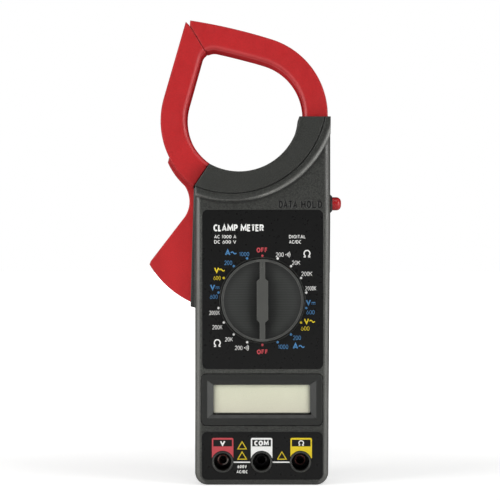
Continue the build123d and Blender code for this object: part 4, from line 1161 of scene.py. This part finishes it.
# ------------------------------------------------------------------ floor
def floor_pale():
    """Pale paper that brightens into the white background away from the object."""
    mat = Material("floor_pale")
    paper = (244, 244, 243)
    colour = mat.tones(mat.noise(scale=6.0, detail=3.0, rough=0.6), paper, gains=(0.985, 1.0))
    x, y, z = mat.axes()
    glow = mat.ramp(mat.radius(x, y), over=(0.10, 0.55), to=(0.55, 1.3), smooth=True)
    # full glow for the camera, a quarter for reflections, little for the rest
    rays = mat.node("ShaderNodeLightPath").outputs
    seen = mat.add(mat.mul(rays["Is Camera Ray"], 1.0),
                   mat.add(mat.mul(rays["Is Glossy Ray"], 0.25), 0.0))
    seen = mat.math("MAXIMUM", seen, 0.12)
    shader = mat.surface(colour, rough=0.8, spec=0.1)
    mat.put(shader.inputs["Emission Color"], (1, 1, 1, 1))
    mat.put(shader.inputs["Emission Strength"], mat.mul(glow, seen))
    return mat.finish(shader)


FLOOR_HALF = 8.0
FLOOR_DROP = 0.00002                  # keeps the floor just clear of the object
bm = bmesh.new()
bm.faces.new([bm.verts.new((x * FLOOR_HALF, y * FLOOR_HALF, 0))
              for x, y in ((-1, -1), (1, -1), (1, 1), (-1, 1))])
floor = mesh_object("floor", bm, floor_pale())
floor.location.z = cad_low.z - FLOOR_DROP

# ------------------------------------------------------------------ world
RING = 2.6                            # soft panels round the lens
BACKDROP = 0.35                       # pale field beyond the object
BASE = 0.03                           # light from everywhere


def build_world():
    """White for the camera; for lighting, a tent that turns with the camera.

    The tent has a ring of panels round the lens, dimmer above, with a darker gap behind
    the lens, and a pale backdrop.
    """
    world = bpy.data.worlds.new("studio")
    bpy.context.scene.world = world
    world.use_nodes = True
    sky = Nodes(world.node_tree)
    output = sky.node("ShaderNodeOutputWorld")
    rays = sky.node("ShaderNodeLightPath").outputs
    direction = sky.node("ShaderNodeTexCoord").outputs["Generated"]
    turned = sky.node("ShaderNodeVectorTransform", {0: direction}, vector_type="VECTOR",
                      convert_from="WORLD", convert_to="CAMERA")
    right, up, forward = sky.split(turned.outputs[0])
    backward = sky.mul(forward, -1.0)
    above = sky.ramp(up, over=(0.05, 0.60), to=(1.0, 0.25), smooth=True)
    sideways = sky.ramp(right, over=(-0.3, 0.3), to=(0.9, 1.1), smooth=True)
    ring = sky.mul(sky.ramp(backward, over=(0.02, 0.22), smooth=True),
                   sky.ramp(backward, over=(0.52, 0.70), to=(1.0, 0.0), smooth=True),
                   above, sky.mul(sideways, RING))
    backdrop = sky.ramp(forward, over=(0.25, 0.75), to=(0.0, BACKDROP), smooth=True)
    # reflections see a weaker backdrop
    glossy = sky.mul(rays["Is Glossy Ray"], 1.0)
    backdrop = sky.mul(backdrop, sky.add(sky.mul(glossy, -0.6), 1.0))
    strength = sky.add(sky.add(ring, backdrop), BASE)
    tent = sky.node("ShaderNodeBackground", {1: strength})
    plain = sky.node("ShaderNodeBackground", {0: (1, 1, 1, 1), 1: 1.0})
    chosen = sky.node("ShaderNodeMixShader", {0: rays["Is Camera Ray"], 1: tent.outputs[0],
                                              2: plain.outputs[0]})
    sky.put(output.inputs["Surface"], chosen.outputs[0])


build_world()

# ------------------------------------------------------------------ camera and lights
SENSOR = 36.0
VIEW_DISTANCE = 850.0                 # mm, lens to the front plane
VIEW_WIDTH = 246.78                   # mm, seen across the front plane

camera_data = bpy.data.cameras.new("camera")
camera_data.sensor_width = SENSOR
camera_data.lens = SENSOR * VIEW_DISTANCE / VIEW_WIDTH
camera_data.clip_start = 0.01
camera_data.clip_end = 50.0
camera = bpy.data.objects.new("camera", camera_data)
bpy.context.scene.collection.objects.link(camera)
camera.location = (-0.00602, (FRONT_Y - VIEW_DISTANCE) * MM, 0.11623)
camera.rotation_euler = (math.radians(90), 0, 0)
bpy.context.scene.camera = camera

LIGHT_TARGET = Vector((-0.005, 0.0, 0.116))


def softbox(name, location, width, height, power):
    """Rectangular light aimed at the object, which turns with the camera."""
    light = bpy.data.lights.new(name, "AREA")
    light.energy = power
    light.shape = "RECTANGLE"
    light.size = width
    light.size_y = height
    made = bpy.data.objects.new(name, light)
    bpy.context.scene.collection.objects.link(made)
    made.location = location
    made.rotation_mode = "QUATERNION"
    made.rotation_quaternion = (LIGHT_TARGET - Vector(location)).to_track_quat("-Z", "Y")
    made.parent = camera
    # the camera matrix is only current after an update
    bpy.context.view_layer.update()
    made.matrix_parent_inverse = camera.matrix_world.inverted()


softbox("box_left", (-1.0, -0.58, 0.22), width=0.45, height=0.9, power=8.4)
softbox("box_right", (1.0, -0.66, 0.22), width=0.45, height=0.9, power=7.6)
softbox("top_front", (0.0, -0.72, 1.10), width=0.9, height=0.4, power=2.2)
bpy.context.scene.view_settings.view_transform = "Standard"
bpy.context.scene.view_settings.look = "None"
